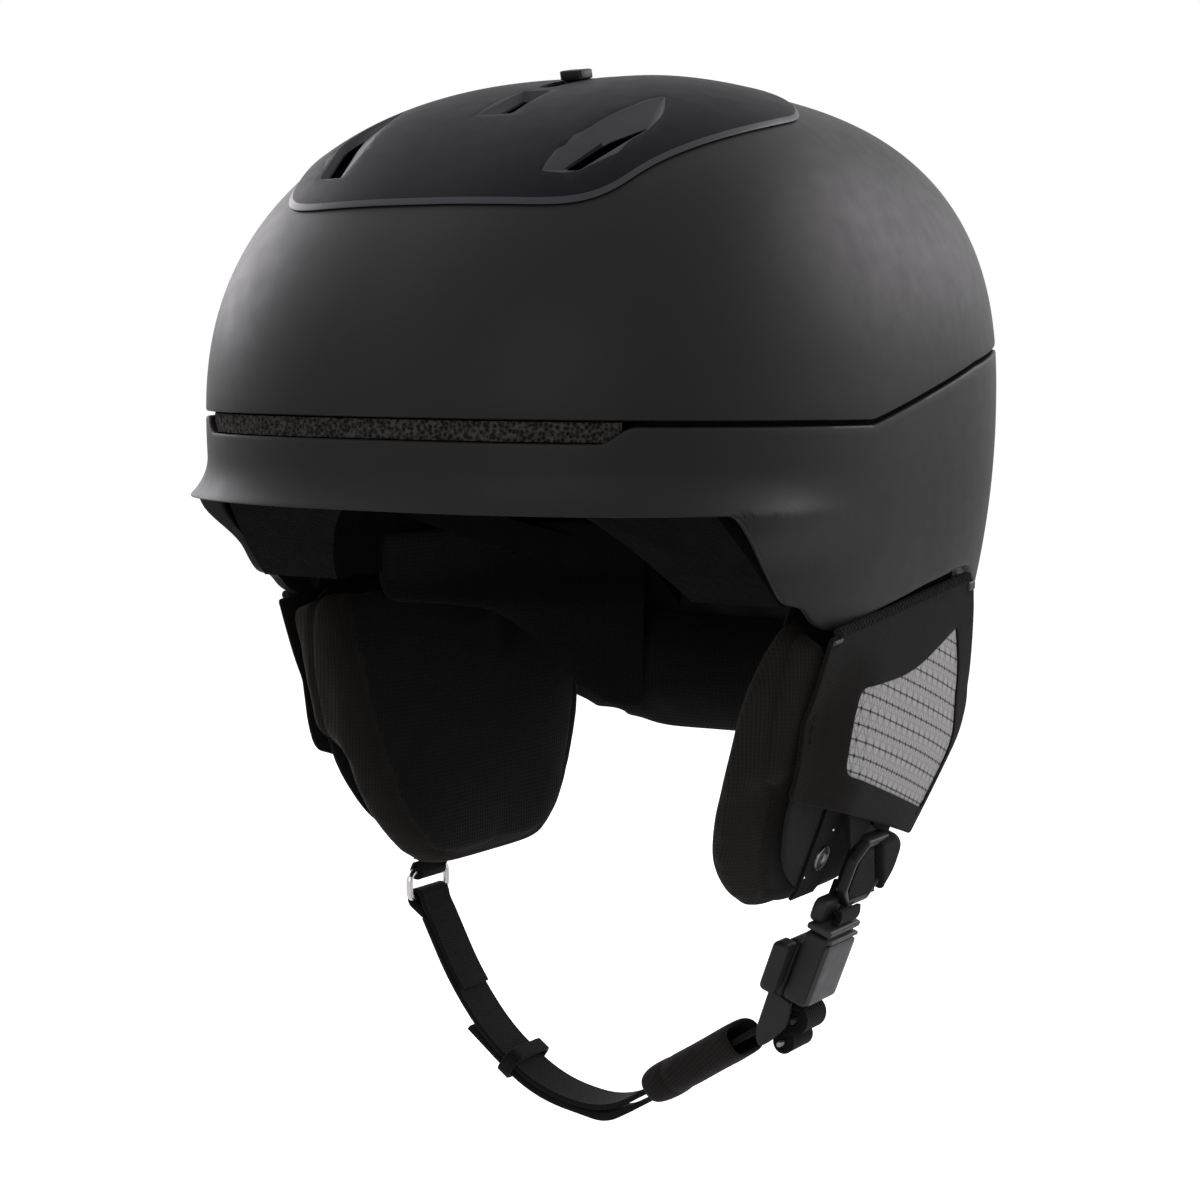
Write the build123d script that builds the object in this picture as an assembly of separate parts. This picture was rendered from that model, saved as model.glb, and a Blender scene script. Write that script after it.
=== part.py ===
from build123d import *
from math import atan2, cos, degrees, pi, radians, sin, sqrt
import os

# A ski helmet. Millimetres, +Z up, front towards -Y, the wearer's left towards +X.
# The origin is the middle of the head opening at the level of the seam between the two shells.

# Shell: a dome whose plan and side curves are superellipses.
HALF_WIDTH = 110.0
FRONT_REACH = 158.0
REAR_REACH = 131.0
CROWN_HEIGHT = 108.5
CUT_TOP = CROWN_HEIGHT + 16.5
PLAN_POWER = 2.7
FRONT_POWER, SIDE_POWER, REAR_POWER = 2.0, 2.5, 3.0
LOWER_TAPER, TAPER_DEPTH = 0.115, 90.0
SHELL_WALL = 2.2
SEAM_GAP = 1.6
FIT_GAP = 0.4

# Brim and lower shell.
BRIM_DEPTH = 26.6
LIP_FLARE, LIP_HEIGHT = 3.7, 13.0
SLOT_HEIGHT, SLOT_HALF_WIDTH, SLOT_BEVEL, SLOT_REACH = 6.4, 68.0, 8.0, 100.0
NAPE_DEPTH = 92.0
SEAM_RISE = 24.0

# Liners.
HEAD_HALF_WIDTH, HEAD_FRONT, HEAD_REAR, HEAD_TOP = 80.0, 118.0, 108.0, 82.0
HEAD_POWER = 2.5
SLIP_WALL = 0.8
COMFORT_THICKNESS = 6.0

# Top plate, vents and their shutter.
PLATE_THICKNESS = 1.2
SHUTTER_CENTRE_Y = -7.0
SHUTTER_WALL, SHUTTER_DEPTH, SHUTTER_GAP = 1.4, 3.4, 0.6
SHUTTER_HALF_WIDTH = 56.0
SHUTTER_TRAVEL = 4.2
SHUTTER_FRONT_Y, SHUTTER_MID_Y, SHUTTER_REAR_Y = -122.0, -60.0, -36.0
KNOB_Y, KNOB_SIZE, KNOB_RISE = -40.0, 8.0, 5.0

# Fit system behind the head.
CRADLE_Y, CRADLE_WALL, CRADLE_HALF_WIDTH, CRADLE_TOP = HEAD_REAR - 8.2, 2.0, 36.0, -56.0
CRADLE_TRAVEL = 8.0
DIAL_Z, DIAL_RADIUS, DIAL_WIDTH, COVER_WALL = -90.0, 15.0, 6.0, 1.4
TONGUE_HALF_WIDTH, TONGUE_TOP = 10.0, -14.0
PINION_TEETH, TOOTH_PITCH = 10, pi
ARM_HEIGHT, ARM_REACH = 4.0, 41.0
BAND_WALL, BAND_HEIGHT, BAND_STUD_X = 1.2, 12.0, 34.0

# Each level of the neck roll: height, half width, thickness.
NAPE_LEVELS = [(-76.0, 60.0, 8.0), (-83.0, 70.0, 11.0), (-98.0, 75.5, 13.0), (-110.0, 78.0, 12.5),
               (-118.5, 68.0, 9.5), (-125.5, 40.0, 6.0)]

# Goggle clip on the back.
CLIP_WIDTH, CLIP_LENGTH, CLIP_WALL, CLIP_GAP = 24.0, 36.0, 3.0, 8.0
CLIP_TOP, CLIP_PIN_RADIUS, CLIP_KNUCKLE_RADIUS = -14.0, 1.0, 2.6

# Ear pads, written for the wearer's left and mirrored for the right.
HINGE_Z = -57.0
HINGE_X = HALF_WIDTH * (1 - LOWER_TAPER * (HINGE_Z / TAPER_DEPTH) ** 2) - 1.9
PAD_REACH = HINGE_X - 9.5
BACKING_WALL, FLAP_WALL, WINDOW_WALL = 1.5, 1.4, 0.8
SOFT_GAP = 0.3
# Each level of the cushion: height, front, rear, outer face, thickness.
CUSHION_LEVELS = [
    (-59.5, -62.0, 58.0, PAD_REACH, 10.0),
    (-72.0, -66.0, 69.0, PAD_REACH - 0.4, 17.0),
    (-85.0, -68.5, 78.0, PAD_REACH - 1.0, 23.0),
    (-108.0, -69.0, 80.5, PAD_REACH - 4.0, 27.0),
    (-128.0, -66.0, 68.0, PAD_REACH - 11.0, 26.0),
    (-146.0, -54.0, 53.0, PAD_REACH - 17.5, 23.5),
    (-154.0, -44.0, 45.0, PAD_REACH - 20.5, 19.5),
    (-160.0, -25.0, 29.0, PAD_REACH - 30.0, 8.0),
]
# The cushion's front also fills the space under the flap's front edge: height, front and rear of that part.
GUSSET_LEVELS = [(-66.0, -65.0, -50.5), (-75.0, -66.3, -50.5), (-85.0, -67.5, -50.5), (-100.0, -67.5, -54.0),
                 (-114.0, -66.5, -58.0)]
FLAP_OUTLINE = [(-62.0, -65.2), (48.0, -53.6), (51.0, -88.0), (56.0, -97.0), (50.0, -112.0),
                (35.0, -141.0), (-60.0, -116.0)]
WINDOW_OUTLINE = [(-38.0, -83.0), (34.0, -72.0), (46.0, -112.0), (36.0, -132.0), (-39.0, -110.0)]

# Straps and buckle.
STRAP_WIDTH, STRAP_WALL = 18.0, 1.8
SIDE_STRAP_WIDTH, SIDE_STRAP_WALL = 15.0, 1.6
DIVIDER_X, DIVIDER_Z, DIVIDER_WIDTH, DIVIDER_HEIGHT, DIVIDER_RIM = PAD_REACH - 9.0, -146.0, 28.0, 23.0, 3.0
FRONT_HANGER, REAR_HANGER = (HINGE_X - 3.9, -40.0, -62.6), (HINGE_X - 2.0, 42.0, -53.6)
HANGER_DROP = 0.8
CHIN_Y = -10.0
RING_X, RING_Z, RING_WIRE = 16.5 - PAD_REACH, -168.5, 1.5
RING_HALF_WIDTH, RING_HEIGHT = STRAP_WIDTH / 2 + 4.0, 12.0
LOOP_LEAN, LOOP_LENGTH = 28.0, 10.0
BUCKLE_X, BUCKLE_Z, BUCKLE_TILT = PAD_REACH - 15.8, -177.7, 20.0
SOCKET_LENGTH, SOCKET_WIDTH, SOCKET_WALL = 26.0, 23.0, 9.0
SLIDE_WALL, SLIDE_HALF_WIDTH, SLIDE_TOP, SLIDE_REACH = 5.0, STRAP_WIDTH / 2 + 1.0, -6.0, 32.0
KEY_DEPTH, KEY_WIDTH, KEY_GAP = 2.6, 11.0, 0.4
MAGNET_RADIUS, MAGNET_WALL = 3.5, 2.5
BAR_RADIUS = 1.5
# The chin strap's route between the ring and the buckle, seen from the front as (x, z). The points are
# written for a ring at x = -77 and spread with it.
CHIN_SPREAD = RING_X / -77.0
CHIN_POINTS = [(-72.9, -179.8), (-61.5, -201.0), (-47.0, -219.0), (-25.0, -234.5), (2.0, -238.5),
               (57.1, -202.2)]
CHIN_ROUTE = [(x * CHIN_SPREAD, z) for x, z in CHIN_POINTS]
TAIL_POINTS = [(-53.5, -216.5), (-27.5, -236.4), (2.2, -241.0), (12.5, -235.0)]
TAIL_ROUTE = [(x * CHIN_SPREAD, z) for x, z in TAIL_POINTS]
KEEPER_X, KEEPER_Z = -36.2 * CHIN_SPREAD, -226.9
SLEEVE_START, SLEEVE_LENGTH, SLEEVE_WALL = 19.5, 39.0, 12.0

os.makedirs("parts", exist_ok=True)
parts = {}


# ---------------------------------------------------------------- helpers

def signed_power(value, power):
    return (1 if value >= 0 else -1) * abs(value) ** power


def level_wire(z, half_width, front, rear, height, plan_power, powers, flare=0.0, lower_taper=LOWER_TAPER):
    """Closed curve round a dome at height z; below the seam the curve draws in with depth."""
    front_power, side_power, rear_power = powers
    points = []
    count = 24
    for index in range(count):
        angle = 2 * pi * index / count
        c, s = cos(angle), sin(angle)
        power = side_power * (1 - s * s) + (front_power if s < 0 else rear_power) * s * s
        if z > 0:
            scale = (1 - (z / height) ** power) ** (1 / power)
        else:
            scale = 1 - lower_taper * (z / TAPER_DEPTH) ** 2
        reach = front if s < 0 else rear
        x = half_width * signed_power(c, 2 / plan_power) * scale
        y = reach * signed_power(s, 2 / plan_power) * scale
        ease = min(max((-y - 55.0) / 60.0, 0.0), 1.0)
        push = flare * ease * ease * (3 - 2 * ease)
        length = sqrt(x * x + y * y)
        points.append((x * (1 + push / length), y * (1 + push / length), z))
    return Wire([Spline(*points, periodic=True)])


DOME_STEPS = [0.24, 0.46, 0.66, 0.82, 0.92, 0.975, 0.996]


def shell_dome(inset, bottom=-100.0):
    """Solid inside the shell's outer face, moved in by inset."""
    top = CROWN_HEIGHT - inset
    levels = [bottom, bottom * 0.66, bottom * 0.33, 0.0]
    levels += [top * step for step in DOME_STEPS]
    wires = [level_wire(z, HALF_WIDTH - inset, FRONT_REACH - inset, REAR_REACH - inset, top, PLAN_POWER,
                        (FRONT_POWER, SIDE_POWER, REAR_POWER)) for z in levels]
    return Solid.make_loft(wires)


def lip_body():
    """Solid inside the flared lip along the brim's lower edge."""
    wires = []
    for z in (-BRIM_DEPTH - 6.0, -BRIM_DEPTH, -BRIM_DEPTH + LIP_HEIGHT * 0.4, -BRIM_DEPTH + LIP_HEIGHT * 0.75,
              -BRIM_DEPTH + LIP_HEIGHT):
        lip = min(1.0, (LIP_HEIGHT - BRIM_DEPTH - z) / LIP_HEIGHT)
        wires.append(level_wire(z, HALF_WIDTH, FRONT_REACH, REAR_REACH, CROWN_HEIGHT, PLAN_POWER,
                                (FRONT_POWER, SIDE_POWER, REAR_POWER), flare=LIP_FLARE * lip * lip + 0.02))
    return Solid.make_loft(wires)


def head_dome(inset, bottom=-90.0):
    """Solid inside the liner's cavity, moved in by inset."""
    top = HEAD_TOP - inset
    levels = [bottom, bottom * 0.66, bottom * 0.33, 0.0] + [top * step for step in DOME_STEPS]
    wires = [level_wire(z, HEAD_HALF_WIDTH - inset, HEAD_FRONT - inset, HEAD_REAR - inset, top, HEAD_POWER,
                        (2.2, 2.3, 2.6), lower_taper=0.02) for z in levels]
    return Solid.make_loft(wires)


def side_cut(outline, half=150.0):
    """Prism across the helmet whose outline is given as (y, z) in side view."""
    return extrude(Plane.YZ * make_face(Polyline(*outline, close=True)), half, both=True)


def side_prism(outline, x_low, x_high):
    face = Plane.YZ.offset(x_low) * make_face(Polyline(*outline, close=True))
    return extrude(face, x_high - x_low)


def plan_prism(outline, z_low, z_high):
    """Vertical prism whose outline is given as (x, y) in plan."""
    return extrude(Plane.XY.offset(z_low) * make_face(Polyline(*outline, close=True)), z_high - z_low)


def box_between(low, high):
    size = [b - a for a, b in zip(low, high)]
    centre = [(a + b) / 2 for a, b in zip(low, high)]
    return Pos(*centre) * Box(*size)


def flat_bar(start, end, width, wall, normal):
    """Straight strip from start to end, its broad face square to normal."""
    start, end, normal = Vector(*start), Vector(*end), Vector(*normal)
    along = (end - start).normalized()
    across = along.cross(normal).normalized()
    plane = Plane(origin=(start + end) / 2, x_dir=along, z_dir=across.cross(along) * -1)
    return plane * Box((end - start).length, width, wall)


def cylinder_between(start, end, radius):
    start, end = Vector(*start), Vector(*end)
    plane = Plane(origin=start, z_dir=end - start)
    return plane * Cylinder(radius, (end - start).length, align=(Align.CENTER, Align.CENTER, Align.MIN))


def both_sides(shape):
    return [shape, mirror(shape, about=Plane.YZ)]


def slot_prism(margin):
    """Space of the slot over the brim, grown by margin; its ends slope up to the seam."""
    bottom, top = -SLOT_HEIGHT - margin, SOFT_GAP + margin
    half_low = SLOT_HALF_WIDTH + margin
    half_high = half_low + SLOT_BEVEL
    face = Plane.XZ * make_face(Polyline((-half_low, bottom), (half_low, bottom), (half_high, top),
                                         (-half_high, top), close=True))
    return Pos(0, -SLOT_REACH, 0) * extrude(face, SLOT_REACH)


def webbing(start, start_down, end, end_down, width, wall):
    """Strip of webbing between two points; its broad face lies outwards and its ends square to down."""
    faces = []
    for point, along in ((start, start_down), (end, end_down)):
        plane = Plane(origin=point, x_dir=(0, 1, 0), z_dir=along)
        faces.append(plane * Rectangle(width, wall))
    return loft(faces)


def keep(name, shape):
    """Store one named piece."""
    parts[name] = shape


# ---------------------------------------------------------------- shells

seam_line = [(-175.0, 0.0), (-45.0, 0.0), (35.0, 18.0), (75.0, SEAM_RISE), (150.0, SEAM_RISE)]
above_seam = side_cut(seam_line + [(150.0, 140.0), (-175.0, 140.0)])
below_seam = side_cut([(y, z - SEAM_GAP) for y, z in seam_line] + [
    (150.0, -NAPE_DEPTH), (94.0, -NAPE_DEPTH + 2), (80.0, -80.0), (60.0, -56.0), (44.0, -49.5), (31.0, -50.3),
    (5.0, -53.5), (-25.0, -58.5), (-50.0, -63.2), (-60.0, -63.2), (-67.0, -60.5), (-72.0, -56.0),
    (-82.0, -54.0), (-86.0, -50.5), (-107.0, -BRIM_DEPTH), (-175.0, -BRIM_DEPTH)])

front_half = box_between((-150.0, -200.0, -60.0), (150.0, -52.0, 0.0))
outer_dome = shell_dome(0.0)
inner_dome = shell_dome(SHELL_WALL)

# Plan outline of the plate on the crown, for x >= 0, front to back.
plate_half = [(0.0, -130.5), (24.0, -129.0), (46.0, -124.5), (55.0, -116.0), (63.0, -96.0), (69.0, -76.0),
              (71.5, -52.0), (70.5, -24.0), (58.0, 0.0), (30.0, 7.0)]
plate_outline = plate_half + [(-x, y) for x, y in reversed(plate_half) if x > 0]

vent_outline = [(38.0, -118.5), (44.0, -117.5), (51.0, -101.0), (50.0, -84.0), (47.5, -70.0), (43.0, -84.0),
                (38.5, -104.0)]
vent_cuts = both_sides(plan_prism(vent_outline, 30.0, CUT_TOP))
centre_vent = plan_prism([(-6.0, -88.0), (6.0, -88.0), (5.0, -68.0), (-5.0, -68.0)], 30.0, CUT_TOP)

slot_length = KNOB_SIZE + 2 * radians(SHUTTER_TRAVEL) * (CROWN_HEIGHT + 80.5) + 3.0
knob_slot = extrude(SlotOverall(slot_length, KNOB_SIZE - 1.0, rotation=90), 30, both=True)
knob_slot = Pos(0, KNOB_Y, 100) * knob_slot

upper_shell = (outer_dome - inner_dome) & above_seam
for cut in vent_cuts + [centre_vent, knob_slot]:
    upper_shell -= cut
keep("upper_shell", upper_shell)

plate = (shell_dome(-PLATE_THICKNESS - SOFT_GAP, -10.0) - shell_dome(-SOFT_GAP, -10.0))
plate &= plan_prism(plate_outline, 20.0, CUT_TOP)
for cut in vent_cuts + [centre_vent, knob_slot]:
    plate -= cut
keep("top_plate", plate)

lower_shell = (outer_dome + (lip_body() & front_half) - inner_dome) & below_seam
lower_shell -= slot_prism(0.0)
keep("lower_shell", lower_shell)

# Open-cell filter band behind the slot over the brim.
keep("brim_filter", (shell_dome(1.2, -20.0) - shell_dome(7.0, -20.0)) & slot_prism(-FIT_GAP - SOFT_GAP))

# ---------------------------------------------------------------- vent shutter

def crown_z(y):
    """Height of the shell's outer face over its middle line, ahead of the origin."""
    return CROWN_HEIGHT * (1 - (-y / FRONT_REACH) ** FRONT_POWER) ** (1 / FRONT_POWER)


# The shutter turns about the centre of the circle that follows the crown over the vents.
mid_reach, front_reach = SHUTTER_CENTRE_Y - SHUTTER_MID_Y, SHUTTER_CENTRE_Y - SHUTTER_FRONT_Y
fall = crown_z(SHUTTER_MID_Y) - crown_z(SHUTTER_FRONT_Y)
rise = ((front_reach ** 2 - mid_reach ** 2) / fall + fall) / 2
SHUTTER_CENTRE_Z = crown_z(SHUTTER_MID_Y) - rise
SHUTTER_RADIUS = sqrt(rise ** 2 + mid_reach ** 2)


def shutter_radius(x):
    """Distance from the shutter's turning axis to the shell's outer face over the vents."""
    side_drop = CROWN_HEIGHT * (1 - (1 - (abs(x) / HALF_WIDTH) ** SIDE_POWER) ** (1 / SIDE_POWER))
    return SHUTTER_RADIUS - 0.82 * side_drop


def shutter_strip(x_low, x_high, depth_top, depth_bottom, spread):
    """Part of a ring about the shutter's axis, spread degrees longer than the shutter at each end."""
    steps = 6
    xs = [x_low + (x_high - x_low) * i / steps for i in range(steps + 1)]
    top = [(x, shutter_radius(x) - depth_top) for x in xs]
    bottom = [(x, shutter_radius(x) - depth_bottom) for x in reversed(xs)]
    face = make_face([Spline(*top), Line(top[-1], bottom[0]), Spline(*bottom), Line(bottom[-1], top[0])])
    start = degrees(atan2(SHUTTER_FRONT_Y - SHUTTER_CENTRE_Y, SHUTTER_RADIUS - 4.0)) - spread
    end = degrees(atan2(SHUTTER_REAR_Y - SHUTTER_CENTRE_Y, SHUTTER_RADIUS - 4.0)) + spread
    plane = Plane(origin=(0, SHUTTER_CENTRE_Y, SHUTTER_CENTRE_Z), x_dir=(1, 0, 0),
                  z_dir=(0, -cos(radians(start)), sin(radians(start))))
    strip = revolve(plane * face, Axis((0, SHUTTER_CENTRE_Y, SHUTTER_CENTRE_Z), (-1, 0, 0)), end - start)
    return strip


shutter_top, shutter_bottom = SHUTTER_DEPTH, SHUTTER_DEPTH + SHUTTER_WALL
shutter = shutter_strip(-SHUTTER_HALF_WIDTH, SHUTTER_HALF_WIDTH, shutter_top, shutter_bottom, 0.0)
for cut in vent_cuts + [centre_vent]:
    shutter -= cut
keep("vent_shutter", shutter)

knob_angle = degrees(atan2(KNOB_Y - SHUTTER_CENTRE_Y, SHUTTER_RADIUS - 4.0))
knob_place = (Pos(0, SHUTTER_CENTRE_Y, SHUTTER_CENTRE_Z) * Rot(-knob_angle, 0, 0))
knob_stem = knob_place * box_between((-2.6, -2.6, SHUTTER_RADIUS - SHUTTER_DEPTH),
                                     (2.6, 2.6, SHUTTER_RADIUS + 2.0))
knob_cap = knob_place * box_between((-KNOB_SIZE / 2, -KNOB_SIZE / 2, SHUTTER_RADIUS + 2.0),
                                    (KNOB_SIZE / 2, KNOB_SIZE / 2, SHUTTER_RADIUS + 2.0 + KNOB_RISE))
knob_cap = fillet(knob_cap.edges().group_by(Axis.Z)[-1], 1.0)
keep("vent_knob", knob_stem + knob_cap)

shutter_room = shutter_strip(-SHUTTER_HALF_WIDTH - 5, SHUTTER_HALF_WIDTH + 5, -4.0,
                             shutter_bottom + SHUTTER_GAP, SHUTTER_TRAVEL + 0.8)
guide = shutter_strip(SHUTTER_HALF_WIDTH + SHUTTER_GAP, SHUTTER_HALF_WIDTH + 4.5, SHUTTER_DEPTH + 1.0,
                      shutter_bottom + SHUTTER_GAP - 0.1, 1.8)
keep("shutter_guides", Compound(children=both_sides(guide)))

# ---------------------------------------------------------------- liners

foam_region = side_cut([
    (-170.0, -BRIM_DEPTH + 3.0), (-112.0, -BRIM_DEPTH + 3.0), (-90.0, -46.0), (-80.0, -55.0), (-47.0, -56.0),
    (-20.0, -55.0), (40.0, -51.5), (54.0, -54.0), (72.0, -66.0), (84.0, -80.0), (140.0, -84.0),
    (140.0, 130.0), (-170.0, 130.0)])
cavity = head_dome(0.0, -100.0)
foam = (shell_dome(SHELL_WALL + FIT_GAP) & foam_region) - cavity
foam -= (outer_dome - shell_dome(7.9, -20.0)) & slot_prism(SOFT_GAP)
foam -= shutter_room
foam_vent = [(39.0, -116.5), (44.0, -115.5), (48.0, -101.0), (47.0, -84.0), (42.0, -86.0), (39.0, -104.0)]
for cut in both_sides(plan_prism(foam_vent, 20.0, CUT_TOP)) + [centre_vent]:
    foam -= cut
dial_back = CRADLE_Y + 2 * CRADLE_WALL + COVER_WALL + DIAL_WIDTH + 2 * SOFT_GAP + FIT_GAP
foam -= box_between((-62.0, 60.0, -100.0), (62.0, dial_back + SOFT_GAP, -58.0))
cradle_room = CRADLE_HALF_WIDTH + 2.0
foam -= box_between((-cradle_room, CRADLE_Y - 10.0, -60.0),
                    (cradle_room, CRADLE_Y + CRADLE_WALL + 1.0, CRADLE_TOP + CRADLE_TRAVEL + 2.0))
for x, y, z in (FRONT_HANGER, REAR_HANGER):
    for pocket in both_sides(box_between((x - 3.2, y - 9.2, z), (x + 12.0, y + 9.2, z + 15.0))):
        foam -= pocket
keep("impact_foam", foam)

slip_region = side_cut([(-130.0, 4.0), (120.0, 4.0), (120.0, 100.0), (-130.0, 100.0)])
slip = (head_dome(SOFT_GAP, -20.0) - head_dome(SOFT_GAP + SLIP_WALL, -20.0)) & slip_region
foam_holes = [plan_prism([(x * side, y) for x, y in foam_vent], 0.0, CUT_TOP) for side in (1, -1)]
for cut in foam_holes + [centre_vent]:
    slip -= cut
keep("slip_liner", slip)

comfort_inset = SOFT_GAP + SLIP_WALL + SOFT_GAP
comfort_shell = head_dome(comfort_inset, -40.0) - head_dome(comfort_inset + COMFORT_THICKNESS, -40.0)
brow_zone = side_cut([(-125.0, 2.0), (-58.0, 2.0), (-58.0, 22.0), (-125.0, 22.0)])
keep("brow_pad", comfort_shell & brow_zone)
crown_zone = plan_prism([(-16.0, -62.0), (16.0, -62.0), (20.0, -20.0), (52.0, 4.0), (52.0, 30.0), (18.0, 30.0),
                         (14.0, 70.0), (-14.0, 70.0), (-18.0, 30.0), (-52.0, 30.0), (-52.0, 4.0),
                         (-20.0, -20.0)], 30.0, 110.0)
keep("crown_pad", comfort_shell & crown_zone)

anchors = []
for x, y in ((30.0, -80.0), (-30.0, -80.0), (34.0, 76.0), (-34.0, 76.0)):
    peg = Pos(x, y, 0) * Cylinder(3.0, 90.0, align=(Align.CENTER, Align.CENTER, Align.MIN))
    anchors.append(peg & (head_dome(SOFT_GAP + SLIP_WALL + 0.05, -20.0) - head_dome(3.4, -20.0)))
keep("slip_anchors", Compound(children=anchors))

# ---------------------------------------------------------------- fit system

band = head_dome(3.6, -95.0) - head_dome(3.6 + BAND_WALL, -95.0)
band_zone = side_cut([(-130.0, -13.0), (-74.0, -13.0), (72.0, -50.0), (72.0, -50.0 - BAND_HEIGHT),
                      (-74.0, -13.0 - BAND_HEIGHT), (-130.0, -13.0 - BAND_HEIGHT)])
band &= band_zone
stud_wall = head_dome(0.2, -95.0) - head_dome(3.6 + BAND_WALL / 2, -95.0)
for x in (-BAND_STUD_X, BAND_STUD_X):
    band += stud_wall & cylinder_between((x, -130.0, -19.0), (x, -80.0, -19.0), 4.0)
keep("fit_band", band)

cradle_back = CRADLE_Y + CRADLE_WALL
rail_low = CRADLE_TOP + CRADLE_TRAVEL + 1.0
rail = box_between((-15.0, CRADLE_Y - 2.0, rail_low), (15.0, HEAD_REAR - FIT_GAP, -22.0))
rail -= box_between((-TONGUE_HALF_WIDTH - FIT_GAP, CRADLE_Y - FIT_GAP, -60.0),
                    (TONGUE_HALF_WIDTH + FIT_GAP, cradle_back + FIT_GAP, -10.0))
keep("cradle_rail", rail & head_dome(FIT_GAP, -100.0))

arm_low_y = cradle_back + SOFT_GAP
arm_high_y = arm_low_y + CRADLE_WALL
cover_y = arm_high_y + SOFT_GAP
dial_y = cover_y + COVER_WALL + FIT_GAP
cradle = box_between((-CRADLE_HALF_WIDTH, CRADLE_Y, -104.0), (CRADLE_HALF_WIDTH, cradle_back, CRADLE_TOP))
cradle = fillet(cradle.edges().filter_by(Axis.Y), 8.0)
cradle += box_between((-TONGUE_HALF_WIDTH, CRADLE_Y, CRADLE_TOP - 6),
                      (TONGUE_HALF_WIDTH, cradle_back, TONGUE_TOP))
for x in (-19.0, 19.0):
    cradle -= Pos(x, CRADLE_Y, -66.0) * Rot(90, 0, 0) * extrude(SlotOverall(18.0, 7.0), 10, both=True)
pinion_pitch = PINION_TEETH * TOOTH_PITCH / (2 * pi)
axle_radius = 2.0
axle_hole = Pos(0, CRADLE_Y, DIAL_Z) * Rot(90, 0, 0) * Cylinder(axle_radius + 0.05, 60)
keep("rear_cradle", cradle - axle_hole)
axle = Pos(0, 0, DIAL_Z) * Rot(-90, 0, 0) * Cylinder(axle_radius, dial_y + DIAL_WIDTH - CRADLE_Y,
                                                    align=(Align.CENTER, Align.CENTER, Align.MIN))
keep("dial_axle", Pos(0, CRADLE_Y, 0) * axle)

cover = Pos(0, cover_y, DIAL_Z) * Rot(-90, 0, 0) * Cylinder(
    13.5, COVER_WALL, align=(Align.CENTER, Align.CENTER, Align.MIN))
post_height = cover_y - cradle_back
for x in (-11.0, 11.0):
    cover += Pos(x, cradle_back, DIAL_Z) * Rot(-90, 0, 0) * Cylinder(
        1.6, post_height, align=(Align.CENTER, Align.CENTER, Align.MIN))
keep("dial_cover", cover - axle_hole)

dial_disc = Circle(DIAL_RADIUS)
for index in range(14):
    turn = 2 * pi * index / 14
    dial_disc -= Pos(DIAL_RADIUS * cos(turn), DIAL_RADIUS * sin(turn)) * Circle(1.8)
dial = Pos(0, dial_y, DIAL_Z) * Rot(-90, 0, 0) * extrude(dial_disc, DIAL_WIDTH)
keep("fit_dial", dial - axle_hole)

tooth_half = 0.32 * TOOTH_PITCH / 2
pinion_face = Circle(pinion_pitch - 1.25)
for index in range(PINION_TEETH):
    turn = 360.0 * index / PINION_TEETH
    root, tip = pinion_pitch - 1.6, pinion_pitch + 0.75
    tooth = make_face(Polyline((root, -tooth_half * 1.25), (tip, -tooth_half * 0.5), (tip, tooth_half * 0.5),
                               (root, tooth_half * 1.25), close=True))
    pinion_face += Rot(0, 0, turn) * tooth
pinion = Pos(0, arm_low_y, DIAL_Z) * Rot(-90, 0, 0) * extrude(pinion_face, CRADLE_WALL)
keep("dial_pinion", pinion - axle_hole)


def band_arm(side):
    """Toothed arm of the band; its rack lies over the pinion on the left and under it on the right."""
    inner, outer = -side * 14.0, side * ARM_REACH
    base = pinion_pitch + 1.5
    bar = Pos((inner + outer) / 2, side * (base + ARM_HEIGHT / 2)) * Rectangle(abs(outer - inner), ARM_HEIGHT)
    for index in range(-4, 5):
        x = index * TOOTH_PITCH
        foot, tip = side * (base + 0.1), side * (pinion_pitch - 0.7)
        teeth = Polyline((x - tooth_half * 1.3, foot), (x - tooth_half * 0.6, tip),
                         (x + tooth_half * 0.6, tip), (x + tooth_half * 1.3, foot), close=True)
        bar += make_face(teeth)
    bar += Pos(outer, side * (base + ARM_HEIGHT / 2)) * Circle(ARM_HEIGHT)
    bar -= Pos(outer, side * (base + ARM_HEIGHT / 2)) * Circle(1.8)
    plane = Plane(origin=(0, arm_high_y, DIAL_Z), x_dir=(1, 0, 0), z_dir=(0, -1, 0))
    return extrude(plane * bar, CRADLE_WALL)


keep("band_arm_left", band_arm(1))
keep("band_arm_right", band_arm(-1))


def nape_section(z, half, wall):
    """Closed curve of the neck roll at one height; it curves round the neck and thins towards its ends."""
    xs = [-half + 2 * half * i / 8 for i in range(9)]
    back = [(x, CRADLE_Y - 2.6 - 7.0 * (x / 74.0) ** 2, z) for x in xs]
    front = [(x, y - wall * (1 - 0.55 * (x / 74.0) ** 2), z) for x, y, z in reversed(back)]
    return Wire([Spline(*back), Line(back[-1], front[0]), Spline(*front), Line(front[-1], back[0])])


nape = Solid.make_loft([nape_section(*level) for level in NAPE_LEVELS])
for wing in both_sides(box_between((61.6, 40.0, -81.0), (100.0, 140.0, -60.0))):
    nape -= wing
keep("nape_pad", nape)

# ---------------------------------------------------------------- goggle clip

clip_mid_z = CLIP_TOP - CLIP_LENGTH / 2
base_y = REAR_REACH * (1 - LOWER_TAPER * (CLIP_TOP / TAPER_DEPTH) ** 2)
clip_y = base_y + 1.5 + CLIP_GAP
base = box_between((-CLIP_WIDTH / 2, base_y - 8.0, CLIP_TOP - CLIP_LENGTH),
                   (CLIP_WIDTH / 2, base_y + 1.5, CLIP_TOP))
base -= shell_dome(-0.1)
pin_y, pin_z = clip_y + CLIP_WALL / 2, CLIP_TOP - 3.0


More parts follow.
